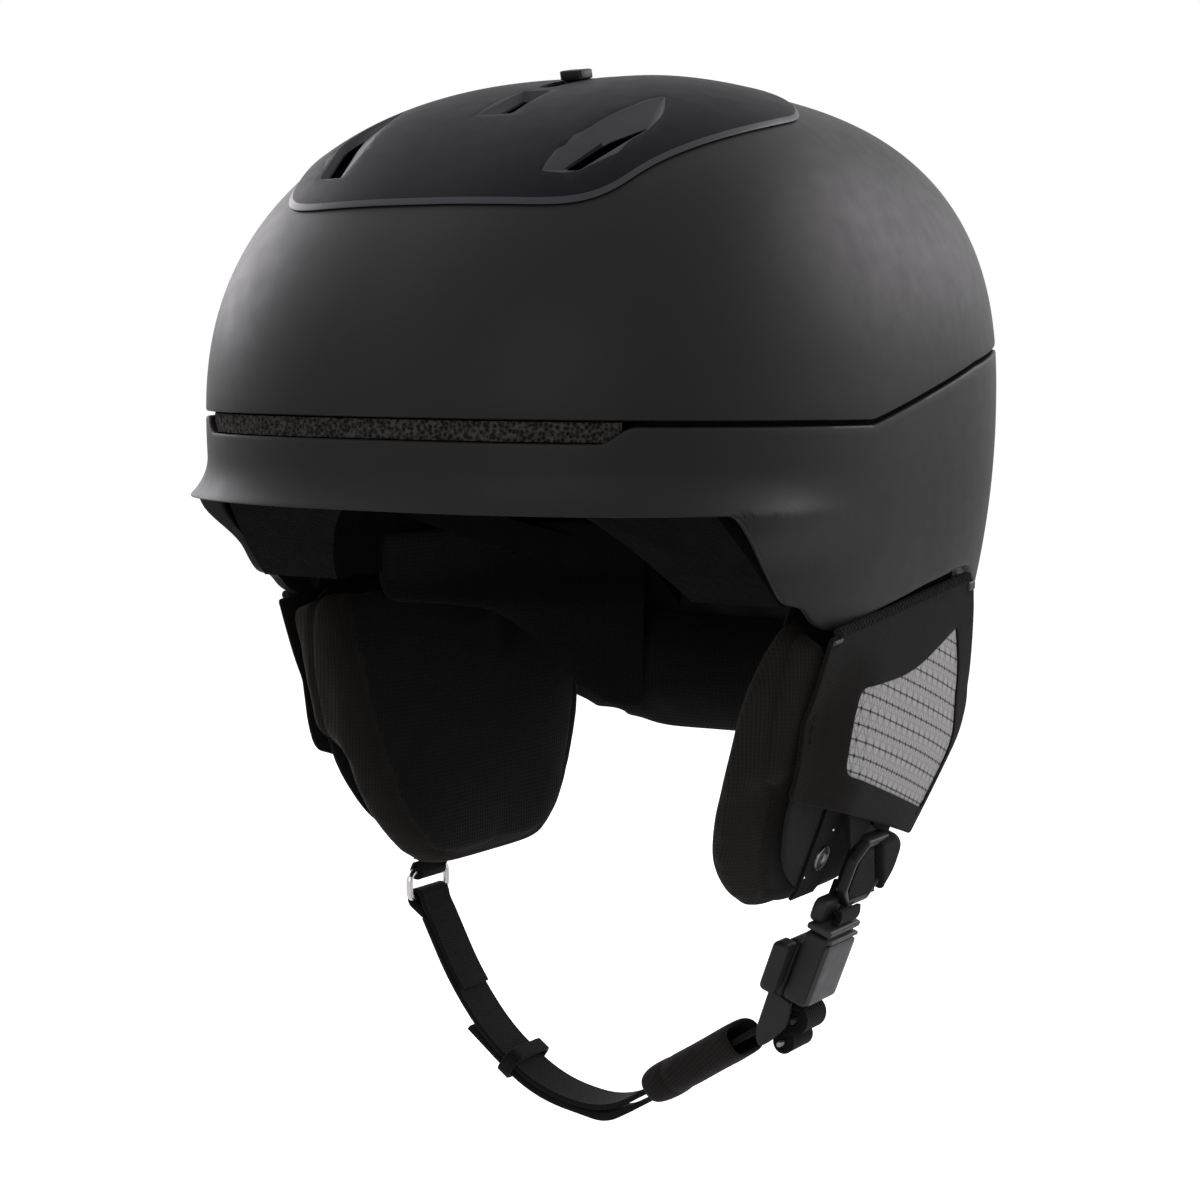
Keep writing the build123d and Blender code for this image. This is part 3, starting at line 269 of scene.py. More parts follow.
def webbing_cloth(name, colour, rib=0.0018, pick=0.0011):
    """Woven webbing from its UVs: u runs along the strap and v across it, both in metres."""
    m = fresh(name)
    u, v, _ = m.axes("UV")
    wave = (v * (2 * pi / rib)).maths("SINE").maths("ABSOLUTE")
    picks = (u * (2 * pi / pick) + (v / rib).maths("ROUND") * pi).maths("SINE")
    height = (wave * picks).maths("MULTIPLY_ADD", 0.5, 0.5) + m.noise(4200.0) * 0.4
    return m.finish(colour=m.ramp(height, 0.2, shade(colour, 0.45), 1.0, shade(colour, 1.4)),
                    normal=m.bump(height, 0.00022, 0.8), roughness=0.78, sheen=0.03, sheen_roughness=0.5,
                    specular=0.08)


def bead_foam(name, colour, scale=340.0):
    """Moulded bead foam: packed cells with pressed boundaries."""
    m = fresh(name)
    edge = m.ramp(m.cells(scale, "DISTANCE_TO_EDGE"), 0.0, 0.0, 0.12, 1.0)
    return m.finish(colour=m.ramp(m.noise(scale * 0.4), 0.3, shade(colour, 0.8), 0.7, shade(colour, 1.25)),
                    normal=m.bump(edge, 0.0003, 0.6), roughness=0.85, specular=0.03)


def open_foam(name, colour):
    """Open-cell filter foam: a ragged net of pores and thin bright struts."""
    m = fresh(name)
    level = (m.cells(820.0) + m.noise(1500.0, 4.0, 0.75)) * 0.6
    tones = m.ramp(level, 0.30, shade(colour, 0.06), 0.5, shade(colour, 0.7), 0.78, shade(colour, 3.8))
    return m.finish(colour=tones, normal=m.bump(level, 0.0009, 1.0), roughness=0.9, specular=0.1)


def steel(name, colour, roughness):
    m = fresh(name)
    streak = m.noise(900.0)
    return m.finish(roughness=m.ramp(streak, 0.3, roughness - 0.06, 0.7, roughness + 0.08),
                    colour=m.ramp(m.noise(120.0), 0.3, shade(colour, 0.9), 0.7, colour),
                    normal=m.bump(streak, 0.00001, 0.4), metallic=1.0)


def grid_cloth(name, pale, dark, row_pitch=0.005, column_pitch=0.0051):
    """Pale reinforced fabric: dark threads in level rows, finer threads across, and crossing diagonals."""
    m = fresh(name)
    _, y, z = m.axes()
    rows, columns = (z + y * 0.3) / row_pitch, y / column_pitch

    def line(position, half):
        """1 within half of a whole number, else 0, with a soft edge."""
        gap = (position - position.maths("ROUND")).maths("ABSOLUTE")
        return 1.0 - (gap / half).maths("SMOOTH_MIN", 1.0, 0.3)

    threads = line(rows, 0.085)
    for part in (line(rows + 0.5, 0.05) * 0.3, line(columns, 0.06) * 0.6,
                 line(columns + rows * 0.5, 0.055) * 0.65, line(columns - rows * 0.5, 0.055) * 0.65,
                 line(rows, 0.2) * line(columns, 0.18) * 1.8):
        threads = threads.maths("MAXIMUM", part)
    threads = threads.maths("MINIMUM", 1.0)
    weave = m.noise(2500.0)
    cloth = m.ramp(weave, 0.3, shade(pale, 0.86), 0.7, shade(pale, 1.08))
    return m.finish(colour=m.mix(threads, cloth, dark), normal=m.bump(threads + weave * 0.3, 0.00018, 0.7),
                    roughness=0.7, sheen=0.05, sheen_roughness=0.4, specular=0.1)


finishes = {
    "shell": shell_paint("shell_paint", (0.0077, 0.0076, 0.0077), 0.50),
    "plate": shell_paint("plate_paint", (0.0047, 0.0049, 0.0074), 0.50, 0.05),
    # Painted highlight: the plate's chamfer gets a lighter copy of the paint, where light from above catches it.
    "plate_chamfer_highlight": shell_paint("plate_chamfer_painted_highlight", (0.0300, 0.0300, 0.0360), 0.40),
    "vent": moulded_plastic("vent_plastic", (0.0040, 0.0040, 0.0045), 0.5, specular=0.05),
    # Painted light: the vents' sloping facets get a lighter copy of the paint, as where they face the lamps.
    "vent_facet_lit": shell_paint("vent_facet_painted_light", (0.0350, 0.0335, 0.0380), 0.5, 0.10),
    "moulded": moulded_plastic("moulded_black", (0.0070, 0.0070, 0.0073), 0.46),
    "divider": moulded_plastic("divider_plastic", (0.0096, 0.0096, 0.0099), 0.42),
    "buckle": moulded_plastic("buckle_plastic", (0.0144, 0.0144, 0.0147), 0.45, grain=1100.0),
    "buckle_face": moulded_plastic("buckle_face_plastic", (0.0341, 0.0341, 0.0363), 0.42, grain=900.0),
    "buckle_edge": moulded_plastic("buckle_edge_plastic", (0.0248, 0.0248, 0.0259), 0.4),
    "knob": moulded_plastic("knob_plastic", (0.0078, 0.0072, 0.0075), 0.38),
    "foam": bead_foam("bead_foam", (0.0030, 0.0030, 0.0032)),
    "filter": open_foam("filter_foam", (0.0122, 0.0110, 0.0102)),
    "slip": moulded_plastic("slip_film", (0.0090, 0.0095, 0.0100), 0.35, mottle=0.2),
    "band": moulded_plastic("band_plastic", (0.0080, 0.0080, 0.0085), 0.4),
    "steel": steel("bright_steel", (0.62, 0.61, 0.60), 0.22),
    "dark_steel": steel("dark_steel", (0.22, 0.215, 0.21), 0.3),
    "pad": knit_fabric("pad_knit", (0.0100, 0.0088, 0.0079), 0.0015, 0.00018),
    "brushed": knit_fabric("brushed_lining", (0.0060, 0.0057, 0.0060), 0.0016, 0.0002),
    "backing": woven_cloth("backing_cloth", (0.0084, 0.0087, 0.0090), 0.0009, 0.00012),
    "flap": woven_cloth("flap_cloth", (0.0039, 0.0033, 0.0028), 0.0006),
    "piping": woven_cloth("piping_cloth", (0.0072, 0.0066, 0.0072), 0.0012, 0.0004),
    "window": grid_cloth("window_cloth", (0.31, 0.305, 0.306), (0.0060, 0.0056, 0.0058)),
    "webbing": webbing_cloth("webbing_cloth", (0.0028, 0.0027, 0.0027)),
    "webbing_plain": woven_cloth("webbing_plain", (0.0034, 0.0034, 0.0038), 0.0008, 0.00025),
    "sleeve": woven_cloth("sleeve_cloth", (0.0091, 0.0078, 0.0074), 0.0010),
}


# ---------------------------------------------------------------- mesh helpers

@contextmanager
def edited(mesh):
    """The mesh as a bmesh, which is written back at the end."""
    work = bmesh.new()
    work.from_mesh(mesh)
    yield work
    work.to_mesh(mesh)
    work.free()


def clean(mesh):
    """Join the points that coincide and turn every face outwards."""
    with edited(mesh) as work:
        bmesh.ops.remove_doubles(work, verts=work.verts, dist=1e-7)
        bmesh.ops.recalc_face_normals(work, faces=work.faces)


def soften(mesh, sharp):
    """Smooth shading, with the edges over an angle in degrees kept sharp."""
    mesh.polygons.foreach_set("use_smooth", [True] * len(mesh.polygons))
    mesh.set_sharp_from_angle(angle=radians(sharp))


def make_mesh(name, verts, faces):
    mesh = bpy.data.meshes.new(name)
    mesh.from_pydata([tuple(c * MM for c in v) for v in verts], [], faces)
    return mesh


def make_object(name, verts, faces, finish, body, slot, replaced=(), sharp=40.0, uvs=None, finish_of=None):
    """Link a mesh as one piece; of several finishes, finish_of(face centre) gives the number of one."""
    mesh = make_mesh(name, verts, faces)
    for each in (finish,) if isinstance(finish, str) else finish:
        mesh.materials.append(finishes[each])
    if uvs is not None:
        layer = mesh.uv_layers.new(name="strip")
        for loop in mesh.loops:
            layer.data[loop.index].uv = uvs[loop.vertex_index]
    if finish_of is not None:
        for polygon in mesh.polygons:
            polygon.material_index = finish_of(polygon.center / MM)
    return link_piece(name, mesh, body, slot, replaced, sharp)


def link_piece(name, mesh, body, slot, replaced=(), sharp=40.0):
    clean(mesh)
    soften(mesh, sharp)
    piece = link_object(name, mesh)
    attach(piece, body)
    if replaced:
        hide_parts(*replaced)
    return piece


def node_mesh(node, finish):
    """Copy of a CAD piece's mesh in another finish."""
    return repaint(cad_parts[node].data.copy(), finish)


def repaint(mesh, finish):
    mesh.materials.clear()
    mesh.materials.append(finishes[finish])
    return mesh


def apply_modifier(piece, kind, **settings):
    """Add one modifier, bake it into the mesh and remove it."""
    modifier = piece.modifiers.new(kind.lower(), kind)
    for key, value in settings.items():
        setattr(modifier, key, value)
    graph = bpy.context.evaluated_depsgraph_get()
    mesh = bpy.data.meshes.new_from_object(piece.evaluated_get(graph))
    piece.modifiers.clear()
    old, piece.data = piece.data, mesh
    name = old.name
    bpy.data.meshes.remove(old)
    mesh.name = name


def smooth_step(t):
    t = min(max(t, 0.0), 1.0)
    return t * t * (3 - 2 * t)


def hump(x):
    """1 at zero, falling smoothly to nearly nothing at 2 either way."""
    return 2.718 ** (-x ** 2)


def polyline_at(line, x):
    """Second coordinate of a polyline at x; beyond its ends it stays level."""
    if x <= line[0][0]:
        return line[0][1]
    for (x0, y0), (x1, y1) in zip(line, line[1:]):
        if x <= x1:
            return y0 + (y1 - y0) * (x - x0) / (x1 - x0)
    return line[-1][1]


def eased_line(line, x, reach):
    """The polyline averaged over a short reach, which rounds its corners."""
    steps = (-1.0, -0.6, -0.2, 0.2, 0.6, 1.0)
    return sum(polyline_at(line, x + reach * step) for step in steps) / len(steps)


def sides_of(outline):
    """Pairs of neighbouring points of a closed outline."""
    return zip(outline, outline[1:] + outline[:1])


def rounded(corners, count=7):
    """Closed outline with each corner (x, y, cut) replaced by a curve that starts cut before it."""
    points = []
    for index, (x, y, cut) in enumerate(corners):
        ends = []
        for other in (corners[index - 1], corners[(index + 1) % len(corners)]):
            length = sqrt((other[0] - x) ** 2 + (other[1] - y) ** 2)
            share = min(cut / length, 0.499)
            ends.append((x + (other[0] - x) * share, y + (other[1] - y) * share))
        for step in range(count):
            t = step / (count - 1)
            a, b, c = (1 - t) ** 2, 2 * t * (1 - t), t * t
            points.append(tuple(a * ends[0][i] + b * (x, y)[i] + c * ends[1][i] for i in (0, 1)))
    return points


def box_corners(x0, x1, y0, y1, cut):
    return [(x0, y0, cut), (x1, y0, cut), (x1, y1, cut), (x0, y1, cut)]


def refine(points, spacing):
    """Closed outline with points added so that no side is much longer than spacing."""
    out = []
    for (x0, y0), (x1, y1) in sides_of(points):
        count = max(1, int(sqrt((x1 - x0) ** 2 + (y1 - y0) ** 2) / spacing + 0.5))
        out += [(x0 + (x1 - x0) * i / count, y0 + (y1 - y0) * i / count) for i in range(count)]
    return out


def outline_area(points):
    """Twice the area inside a closed outline, positive when it runs counter-clockwise."""
    return sum(a[0] * b[1] - b[0] * a[1] for a, b in sides_of(points))


def inset_outline(points, distance):
    """Each point moved square to the outline; a positive distance shrinks it."""
    turn = 1.0 if outline_area(points) > 0 else -1.0
    out = []
    for index, (x, y) in enumerate(points):
        x0, y0 = points[index - 1]
        x1, y1 = points[(index + 1) % len(points)]
        dx, dy = x1 - x0, y1 - y0
        length = sqrt(dx * dx + dy * dy) or 1.0
        out.append((x - turn * dy / length * distance, y + turn * dx / length * distance))
    return out


def inside_loops(points, loops):
    """Even-odd test of many points against closed loops."""
    points = np.asarray(points, dtype=float)
    inside = np.zeros(len(points), dtype=bool)
    px, py = points[:, 0], points[:, 1]
    for loop in loops:
        for (x0, y0), (x1, y1) in sides_of(loop):
            if y0 != y1:
                crosses = (py < max(y0, y1)) & (py >= min(y0, y1))
                inside ^= crosses & (px < x0 + (py - y0) * (x1 - x0) / (y1 - y0))
    return inside


def fill_between(loops, spacing):
    """Triangles over the region between closed loops, with an even scatter of points inside."""
    verts, edges = [], []
    for loop in loops:
        first = len(verts)
        verts += loop
        edges += [(first + i, first + (i + 1) % len(loop)) for i in range(len(loop))]
    border = np.array(verts)
    (left, low), (right, high) = border.min(axis=0), border.max(axis=0)
    row_height, grid = spacing * 0.866, []
    for row in range(int((high - low) / row_height) + 1):
        shift = 0.5 * spacing * (row % 2)
        grid += [(left + shift + column * spacing, low + (row + 0.5) * row_height)
                 for column in range(int((right - left) / spacing) + 1)]
    for (x, y), kept in zip(grid, inside_loops(grid, loops)):
        if kept and np.min((border[:, 0] - x) ** 2 + (border[:, 1] - y) ** 2) > (0.55 * spacing) ** 2:
            verts.append((x, y))
    result = delaunay_2d_cdt([Vector(v) for v in verts], edges, [], 0, 1e-6)
    flat = [tuple(v) for v in result[0]]
    triangles = [tuple(face) for face in result[2]]
    centres = [(sum(flat[i][0] for i in t) / 3, sum(flat[i][1] for i in t) / 3) for t in triangles]
    return flat, [t for t, kept in zip(triangles, inside_loops(centres, loops)) if kept]


def sheet_solid(borders, place, top, bottom, spacing):
    """Closed sheet: each border is a list of rungs, each rung a list of (u, v, height) with one count."""
    verts, faces, index_of = [], [], {}

    def vert(u, v, height):
        key = (round(u, 4), round(v, 4), round(height, 4))
        if key not in index_of:
            index_of[key] = len(verts)
            verts.append(place(u, v, height))
        return index_of[key]

    for rung_number, level in ((0, top), (-1, bottom)):
        rungs = [border[rung_number] for border in borders]
        heights = {(round(u, 4), round(v, 4)): height for rung in rungs for u, v, height in rung}
        flat, triangles = fill_between([[(u, v) for u, v, _ in rung] for rung in rungs], spacing)
        ids = [vert(u, v, heights.get((round(u, 4), round(v, 4)), level)) for u, v in flat]
        faces += [tuple(ids[i] for i in t) for t in triangles]
    for border in borders:
        for upper, lower in zip(border, border[1:]):
            for i in range(len(upper)):
                j = (i + 1) % len(upper)
                quad = [vert(*upper[i]), vert(*upper[j]), vert(*lower[j]), vert(*lower[i])]
                unique = list(dict.fromkeys(quad))
                if len(unique) > 2:
                    faces.append(tuple(unique))
    return verts, faces


def rim(outline, rungs, hole=False):
    """Rungs of one border from (inset, height) pairs; a hole's insets run away from the hole."""
    sign = -1.0 if hole else 1.0
    return [[(u, v, height) for u, v in inset_outline(outline, sign * inset)] for inset, height in rungs]


def row_faces(rows, columns, closed=False, caps=False):
    """Quads between successive rings of points; closed joins the last ring to the first one."""
    faces = []
    for row in range(rows if closed else rows - 1):
        first, second = row * columns, (row + 1) % rows * columns
        for i in range(columns):
            j = (i + 1) % columns
            faces.append((first + i, first + j, second + j, second + i))
    if caps:
        faces.append(tuple(range(columns)))
        faces.append(tuple((rows - 1) * columns + k for k in reversed(range(columns))))
    return faces


def cut_openings(piece, outlines, low, high):
    """Cut upright prisms out of a piece."""
    for outline in outlines:
        count = len(outline)
        verts = [(x, y, z) for z in (low, high) for x, y in outline]
        faces = [tuple(range(count)), tuple(range(count, 2 * count))] + row_faces(2, count)
        mesh = make_mesh("cutter", verts, faces)
        clean(mesh)
        cutter = link_object("cutter", mesh)
        apply_modifier(piece, "BOOLEAN", object=cutter, operation="DIFFERENCE", solver="EXACT")
        bpy.data.objects.remove(cutter)
        bpy.data.meshes.remove(mesh)


def softened(node, finish, body, slot, width):
    """Copy of a CAD piece with its hard edges rounded, which stands for the CAD piece."""
    mesh = node_mesh(node, finish)
    with edited(mesh) as work:
        bmesh.ops.remove_doubles(work, verts=work.verts, dist=1e-6)
        bmesh.ops.dissolve_limit(work, angle_limit=radians(3.0), verts=work.verts, edges=work.edges)
    piece = link_piece(node + "_shaped", mesh, body, slot, (node,), 35.0)
    apply_modifier(piece, "BEVEL", width=width * MM, segments=3, limit_method="ANGLE",
                   angle_limit=radians(38.0), use_clamp_overlap=True)
    soften(piece.data, 35.0)
    return piece


# ---------------------------------------------------------------- shell surface

HALF_WIDTH, FRONT_REACH, REAR_REACH, CROWN_HEIGHT = 110.0, 158.0, 131.0, 108.5
PLAN_POWER, FRONT_POWER, SIDE_POWER, REAR_POWER = 2.7, 2.0, 2.5, 3.0
LOWER_TAPER, TAPER_DEPTH = 0.115, 90.0
SHELL_WALL, SEAM_GAP = 2.2, 1.6
BRIM_DEPTH, LIP_FLARE, LIP_HEIGHT = 26.6, 3.7, 13.0
# The lip fades out below LIP_LOW and behind LIP_REAR, and flares more round the brim's corners.
LIP_LOW, LIP_FADE, LIP_REAR, LIP_RUN = -46.0, 16.0, 40.0, 60.0
LIP_CORNER, LIP_CORNER_REACH, LIP_CORNER_FLARE = 112.0, 32.0, 1.05
SLOT_HEIGHT, SLOT_HALF_WIDTH, SLOT_BEVEL = 6.4, 68.0, 8.0
COLUMNS = 560

SEAM_LINE = [(-175.0, 0.0), (-45.0, 0.0), (35.0, 18.0), (75.0, 24.0), (150.0, 24.0)]
LOWER_EDGE = [(-175.0, -26.6), (-107.0, -26.6), (-86.0, -50.5), (-82.0, -54.0), (-72.0, -56.0), (-67.0, -60.5),
              (-60.0, -63.2), (-50.0, -63.2), (-25.0, -58.5), (5.0, -53.5), (31.0, -50.3), (44.0, -49.5),
              (60.0, -56.0), (80.0, -80.0), (94.0, -90.0), (150.0, -92.0)]


def dome_column(angle, inset=0.0):
    """Plan radius at the seam's level and the vertical power, for one direction seen from above."""
    c, s = cos(angle), sin(angle)
    a = HALF_WIDTH - inset
    b = (FRONT_REACH if s < 0 else REAR_REACH) - inset
    radius = ((abs(c) / a) ** PLAN_POWER + (abs(s) / b) ** PLAN_POWER) ** (-1 / PLAN_POWER)
    share = (abs(s) * radius / b) ** PLAN_POWER
    return radius, SIDE_POWER * (1 - share) + (FRONT_POWER if s < 0 else REAR_POWER) * share


def dome_point(angle, z, inset=0.0, flare=0.0):
    """Point of the shell's outer face, moved in by inset, with the brim's lip pushed out by flare."""
    radius, power = dome_column(angle, inset)
    top = CROWN_HEIGHT - inset
    if z > 0:
        scale = max(1 - (z / top) ** power, 0.0) ** (1 / power)
    else:
        scale = 1 - LOWER_TAPER * (z / TAPER_DEPTH) ** 2
    reach = radius * scale
    if flare and z < LIP_HEIGHT - BRIM_DEPTH:
        lip = min(1.0, (LIP_HEIGHT - BRIM_DEPTH - z) / LIP_HEIGHT)
        fade = smooth_step((z - LIP_LOW) / LIP_FADE)
        forward = -reach * sin(angle)
        fade *= smooth_step((forward - LIP_REAR) / LIP_RUN)
        corner = hump((forward - LIP_CORNER) / LIP_CORNER_REACH)
        reach += flare * lip * lip * fade * (1 + LIP_CORNER_FLARE * corner)
    return (reach * cos(angle), reach * sin(angle), z)


def crown(x, y, out):
    """Height of the dome over a plan point; the dome is grown by out."""
    angle, reach = atan2(y, x), sqrt(x * x + y * y)
    radius, power = dome_column(angle, -out)
    scale = min(reach / radius, 0.9999)
    return (CROWN_HEIGHT + out) * (1 - scale ** power) ** (1 / power)


def even_angles(count, fine=3600):
    """Directions that divide the plan curve into even lengths, starting at the middle of the back."""
    angles = [pi / 2 + 2 * pi * i / fine for i in range(fine + 1)]
    points = [dome_point(angle, 0.0) for angle in angles]
    lengths = [0.0]
    for a, b in zip(points, points[1:]):
        lengths.append(lengths[-1] + sqrt((a[0] - b[0]) ** 2 + (a[1] - b[1]) ** 2))
    return list(np.interp(np.linspace(0.0, lengths[-1], count + 1)[:-1], lengths, angles))


def column_height(angle, line, drop=0.0):
    """Height at which a column meets a line given as (y, z), found by a few corrections."""
    z = -20.0
    for _ in range(6):
        z = eased_line(line, dome_point(angle, z)[1], 2.0) - drop
    return z


def column_mesh(columns, closed=False):
    """Points and faces of a surface round the helmet, from columns with one count of points."""
    return [point for ring in zip(*columns) for point in ring], row_faces(len(columns[0]), len(columns), closed)


def upper_shell():
    """Dome above the seam: outer face, rolled edge and inner face, each column the same number of points."""
    columns = []
    for angle in even_angles(COLUMNS):
        edge = column_height(angle, SEAM_LINE)
        faces = []
        for inset, rows in ((0.0, 60), (SHELL_WALL, 22)):
            power = dome_column(angle, inset)[1]
            top = CROWN_HEIGHT - inset
            start = np.arcsin(min(((edge + 0.9) / top) ** (power / 2), 1.0)) if edge + 0.9 > 0 else 0.0
            run = [start + (pi / 2 - start) * (1 - (1 - k / rows) ** 1.15) for k in range(rows)]
            faces.append([dome_point(angle, top * sin(t) ** (2 / power), inset) for t in run])
        roll = [dome_point(angle, edge + rise, inset) for rise, inset in
                ((0.35, 0.08), (0.06, 0.4), (0.0, 0.85), (0.0, SHELL_WALL - 0.5), (0.3, SHELL_WALL - 0.08))]
        columns.append(faces[0][::-1] + roll + faces[1])
    verts, faces = column_mesh(columns)
    outer_pole, last = len(verts), len(verts) - COLUMNS
    verts += [(0.0, 0.0, CROWN_HEIGHT), (0.0, 0.0, CROWN_HEIGHT - SHELL_WALL)]
    for i in range(COLUMNS):
        j = (i + 1) % COLUMNS
        faces += [(outer_pole, j, i), (outer_pole + 1, last + i, last + j)]
    piece = make_object("upper_shell_skin", verts, faces, "shell", "helmet", "shell", ("upper_shell",))
    vents = [rounded(VENT_LIP), rounded(mirrored(VENT_LIP)), rounded(MIDDLE_LIP), rounded(KNOB_SLOT)]
    cut_openings(piece, vents, 40.0, 130.0)
    soften(piece.data, 40.0)


def lower_shell():
    """Brim, sides and nape below the seam, with the slot over the brim and rolled edges."""
    wall, columns = SHELL_WALL, []
    for angle in even_angles(COLUMNS):
        low = column_height(angle, LOWER_EDGE)
        high = column_height(angle, SEAM_LINE, SEAM_GAP)
        x, y, _ = dome_point(angle, -4.0)
        if y < 0:
            slot = smooth_step((SLOT_HALF_WIDTH + SLOT_BEVEL - abs(x)) / SLOT_BEVEL)
            high -= (SLOT_HEIGHT - SEAM_GAP) * slot
        # Height, inset and share of the lip's flare, from the top down outside and up again inside.
        rows = [(high - 0.9 + (low + 0.9 - high + 0.9) * k / 29, 0.0, 1.0) for k in range(30)]
        rows += [(low + rise, inset, 1.0) for inset, rise in ((0.1, 0.35), (0.45, 0.05), (0.95, 0.0))]
        rows += [(low + 0.15, wall + 0.6, 0.75), (low + 0.8, wall + 0.2, 0.5)]
        rows += [(low + 1.6 + (high - 0.6 - low - 1.6) * k / 15, wall, 0.4) for k in range(16)]
        rows += [(high - fall, inset, 0.0) for inset, fall in
                 ((wall - 0.3, 0.1), (1.1, 0.0), (0.5, 0.05), (0.12, 0.35))]
        columns.append([dome_point(angle, z, inset, LIP_FLARE * share) for z, inset, share in rows])
    make_object("lower_shell_skin", *column_mesh(columns, True), "shell", "helmet", "shell", ("lower_shell",))


# ---------------------------------------------------------------- crown plate, vents and filter

PLATE_RISE, PLATE_FOOT, PLATE_STRETCH, SCOOP_FLOOR = 1.5, -0.3, 1.12, -1.5
PLATE_HALF = [(27.0, -130.6, 16.0), (46.5, -126.6, 10.0), (57.5, -118.0, 8.0), (70.5, -80.0, 18.0),
              (73.8, -50.0, 14.0), (71.0, -20.0, 12.0), (57.0, -2.0, 10.0), (30.0, 7.0, 12.0)]
VENT_LIP = [(35.6, -118.6, 1.2), (46.2, -115.6, 1.6), (54.6, -92.0, 5.0), (53.6, -80.0, 5.0), (46.8, -67.2, 1.2),
            (40.6, -89.0, 8.0)]
VENT_FOOT = [(40.4, -113.0, 0.8), (44.9, -113.6, 0.8), (52.9, -92.0, 2.0), (52.4, -87.5, 1.2), (51.2, -85.5, 0.8),
             (45.6, -98.0, 2.0)]
MIDDLE_LIP = [(-6.2, -89.0, 1.2), (6.2, -89.0, 1.2), (5.2, -64.0, 1.2), (-5.2, -64.0, 1.2)]
MIDDLE_FOOT = [(-2.6, -82.5, 0.8), (2.6, -82.5, 0.8), (3.6, -65.2, 0.8), (-3.6, -65.2, 0.8)]
KNOB_SLOT = box_corners(-3.5, 3.5, -59.3, -20.7, 3.4)
FILTER_HALF_WIDTH, FILTER_STEP, FILTER_ROUGHNESS = 72.0, 0.8, 0.7
FILTER_LEVELS = [-6.1, -5.6, -4.9, -4.1, -3.3, -2.5, -1.7, -1.0, -0.5]


def mirrored(corners):
    return [(-x, y, cut) for x, y, cut in reversed(corners)]


def scoop(lip_corners, foot_corners):
    """Rungs from the plate's face, over a small round, down sloping facets to the slot at the scoop's foot."""
    lip, foot = rounded(lip_corners), rounded(foot_corners)

    def level(outline, inset, height):
        return [(x, y, height) for x, y in inset_outline(outline, inset)]

    rungs = [level(lip, -0.45, PLATE_RISE), level(lip, -0.12, PLATE_RISE - 0.12)]
    depth = PLATE_RISE - SCOOP_FLOOR
    for share in (0.06, 0.3, 0.55, 0.8, 0.97):
        height = PLATE_RISE - 0.3 - (depth - 0.3) * share
        rungs.append([(x0 + (x1 - x0) * share, y0 + (y1 - y0) * share, height)
                      for (x0, y0), (x1, y1) in zip(lip, foot)])
    return rungs + [level(foot, -0.25, SCOOP_FLOOR - 0.25), level(lip, 0.55, PLATE_FOOT)]


def top_plate():
    """Raised plate on the crown with chamfered border and the three vents."""
    outline = refine(rounded([(0.0, -131.2, 12.0)] + PLATE_HALF + mirrored(PLATE_HALF)), 2.4)
    borders = [rim(outline, [(1.5, PLATE_RISE), (1.15, PLATE_RISE - 0.04), (0.3, 0.98), (0.08, 0.84), (0.0, 0.7),
                             (0.2, 0.5), (1.6, 0.44), (1.7, PLATE_FOOT)]),
               scoop(VENT_LIP, VENT_FOOT), scoop(mirrored(VENT_LIP), mirrored(VENT_FOOT)),
               scoop(MIDDLE_LIP, MIDDLE_FOOT),
               rim(rounded(KNOB_SLOT), [(0.5, PLATE_RISE), (0.15, PLATE_RISE - 0.15), (0.0, PLATE_RISE - 0.5),
                                        (0.0, PLATE_FOOT)], hole=True)]

    def finish_of(centre):
        """The chamfer carries a painted highlight and the scoops' facets painted light: both are a lighter copy of
        the paint than the face.
        """
        x, y, z = centre
        rise = (z - crown(x, y, 0.0)) / PLATE_STRETCH
        if not 0.0 < PLATE_RISE - rise - 0.05 < PLATE_RISE - SCOOP_FLOOR - 0.2:
            return 0
        if min((x - px) ** 2 + (y - py) ** 2 for px, py in outline) < 9.0:
            return 1 if rise > 0.5 else 0
        # Painted light on the scoops' sloping facets.
        return 2 if abs(x) > 4.5 or y < -62.0 else 0

    verts, faces = sheet_solid(borders, lambda x, y, h: (x, y, crown(x, y, 0.0) + h * PLATE_STRETCH), PLATE_RISE,
                               PLATE_FOOT, 3.0)
    make_object("crown_plate", verts, faces, ("plate", "plate_chamfer_highlight", "vent_facet_lit"), "helmet", "top_plate",
                ("top_plate",), sharp=24.0, finish_of=finish_of)


def brim_angle(x):
    """Direction in which the front of the dome stands at a sideways distance x, at the slot's level."""
    low, high = pi, 2 * pi
    for _ in range(30):
        middle = (low + high) / 2
        if dome_point(middle, -3.0, 2.0)[0] < x:
            low = middle
        else:
            high = middle
    return (low + high) / 2


def brim_filter():
    """Ragged strip of open foam behind the slot over the brim."""
    columns = int(2 * FILTER_HALF_WIDTH / FILTER_STEP)
    angles = [brim_angle(-FILTER_HALF_WIDTH + column * FILTER_STEP) for column in range(columns + 1)]
    verts, faces = [], []
    for inset, roughness in ((2.0, FILTER_ROUGHNESS), (6.6, 0.0)):
        for z in FILTER_LEVELS:
            for angle in angles:
                x, y, _ = dome_point(angle, z, inset)
                rough = noise.fractal(Vector((x * 0.9, y * 0.9, z * 0.9)), 1.0, 2.0, 3) * roughness
                grow = 1 + rough / sqrt(x * x + y * y)
                verts.append((x * grow, y * grow, z))
    width, height = columns + 1, len(FILTER_LEVELS)
    back = width * height
    for row in range(height - 1):
        for a in range(row * width, row * width + columns):
            faces.append((a, a + 1, a + width + 1, a + width))
            faces.append((back + a, back + a + width, back + a + width + 1, back + a + 1))
    border = [*range(width), *range(2 * width - 1, back, width), *range(back - 2, back - width - 1, -1),
              *range(back - 2 * width, 0, -width)]
    faces += [(a, b, back + b, back + a) for a, b in sides_of(border)]
    make_object("brim_filter_strip", verts, faces, "filter", "helmet", "filter_foam", ("brim_filter",), sharp=60.0)


# ---------------------------------------------------------------- straps and other pieces along a path

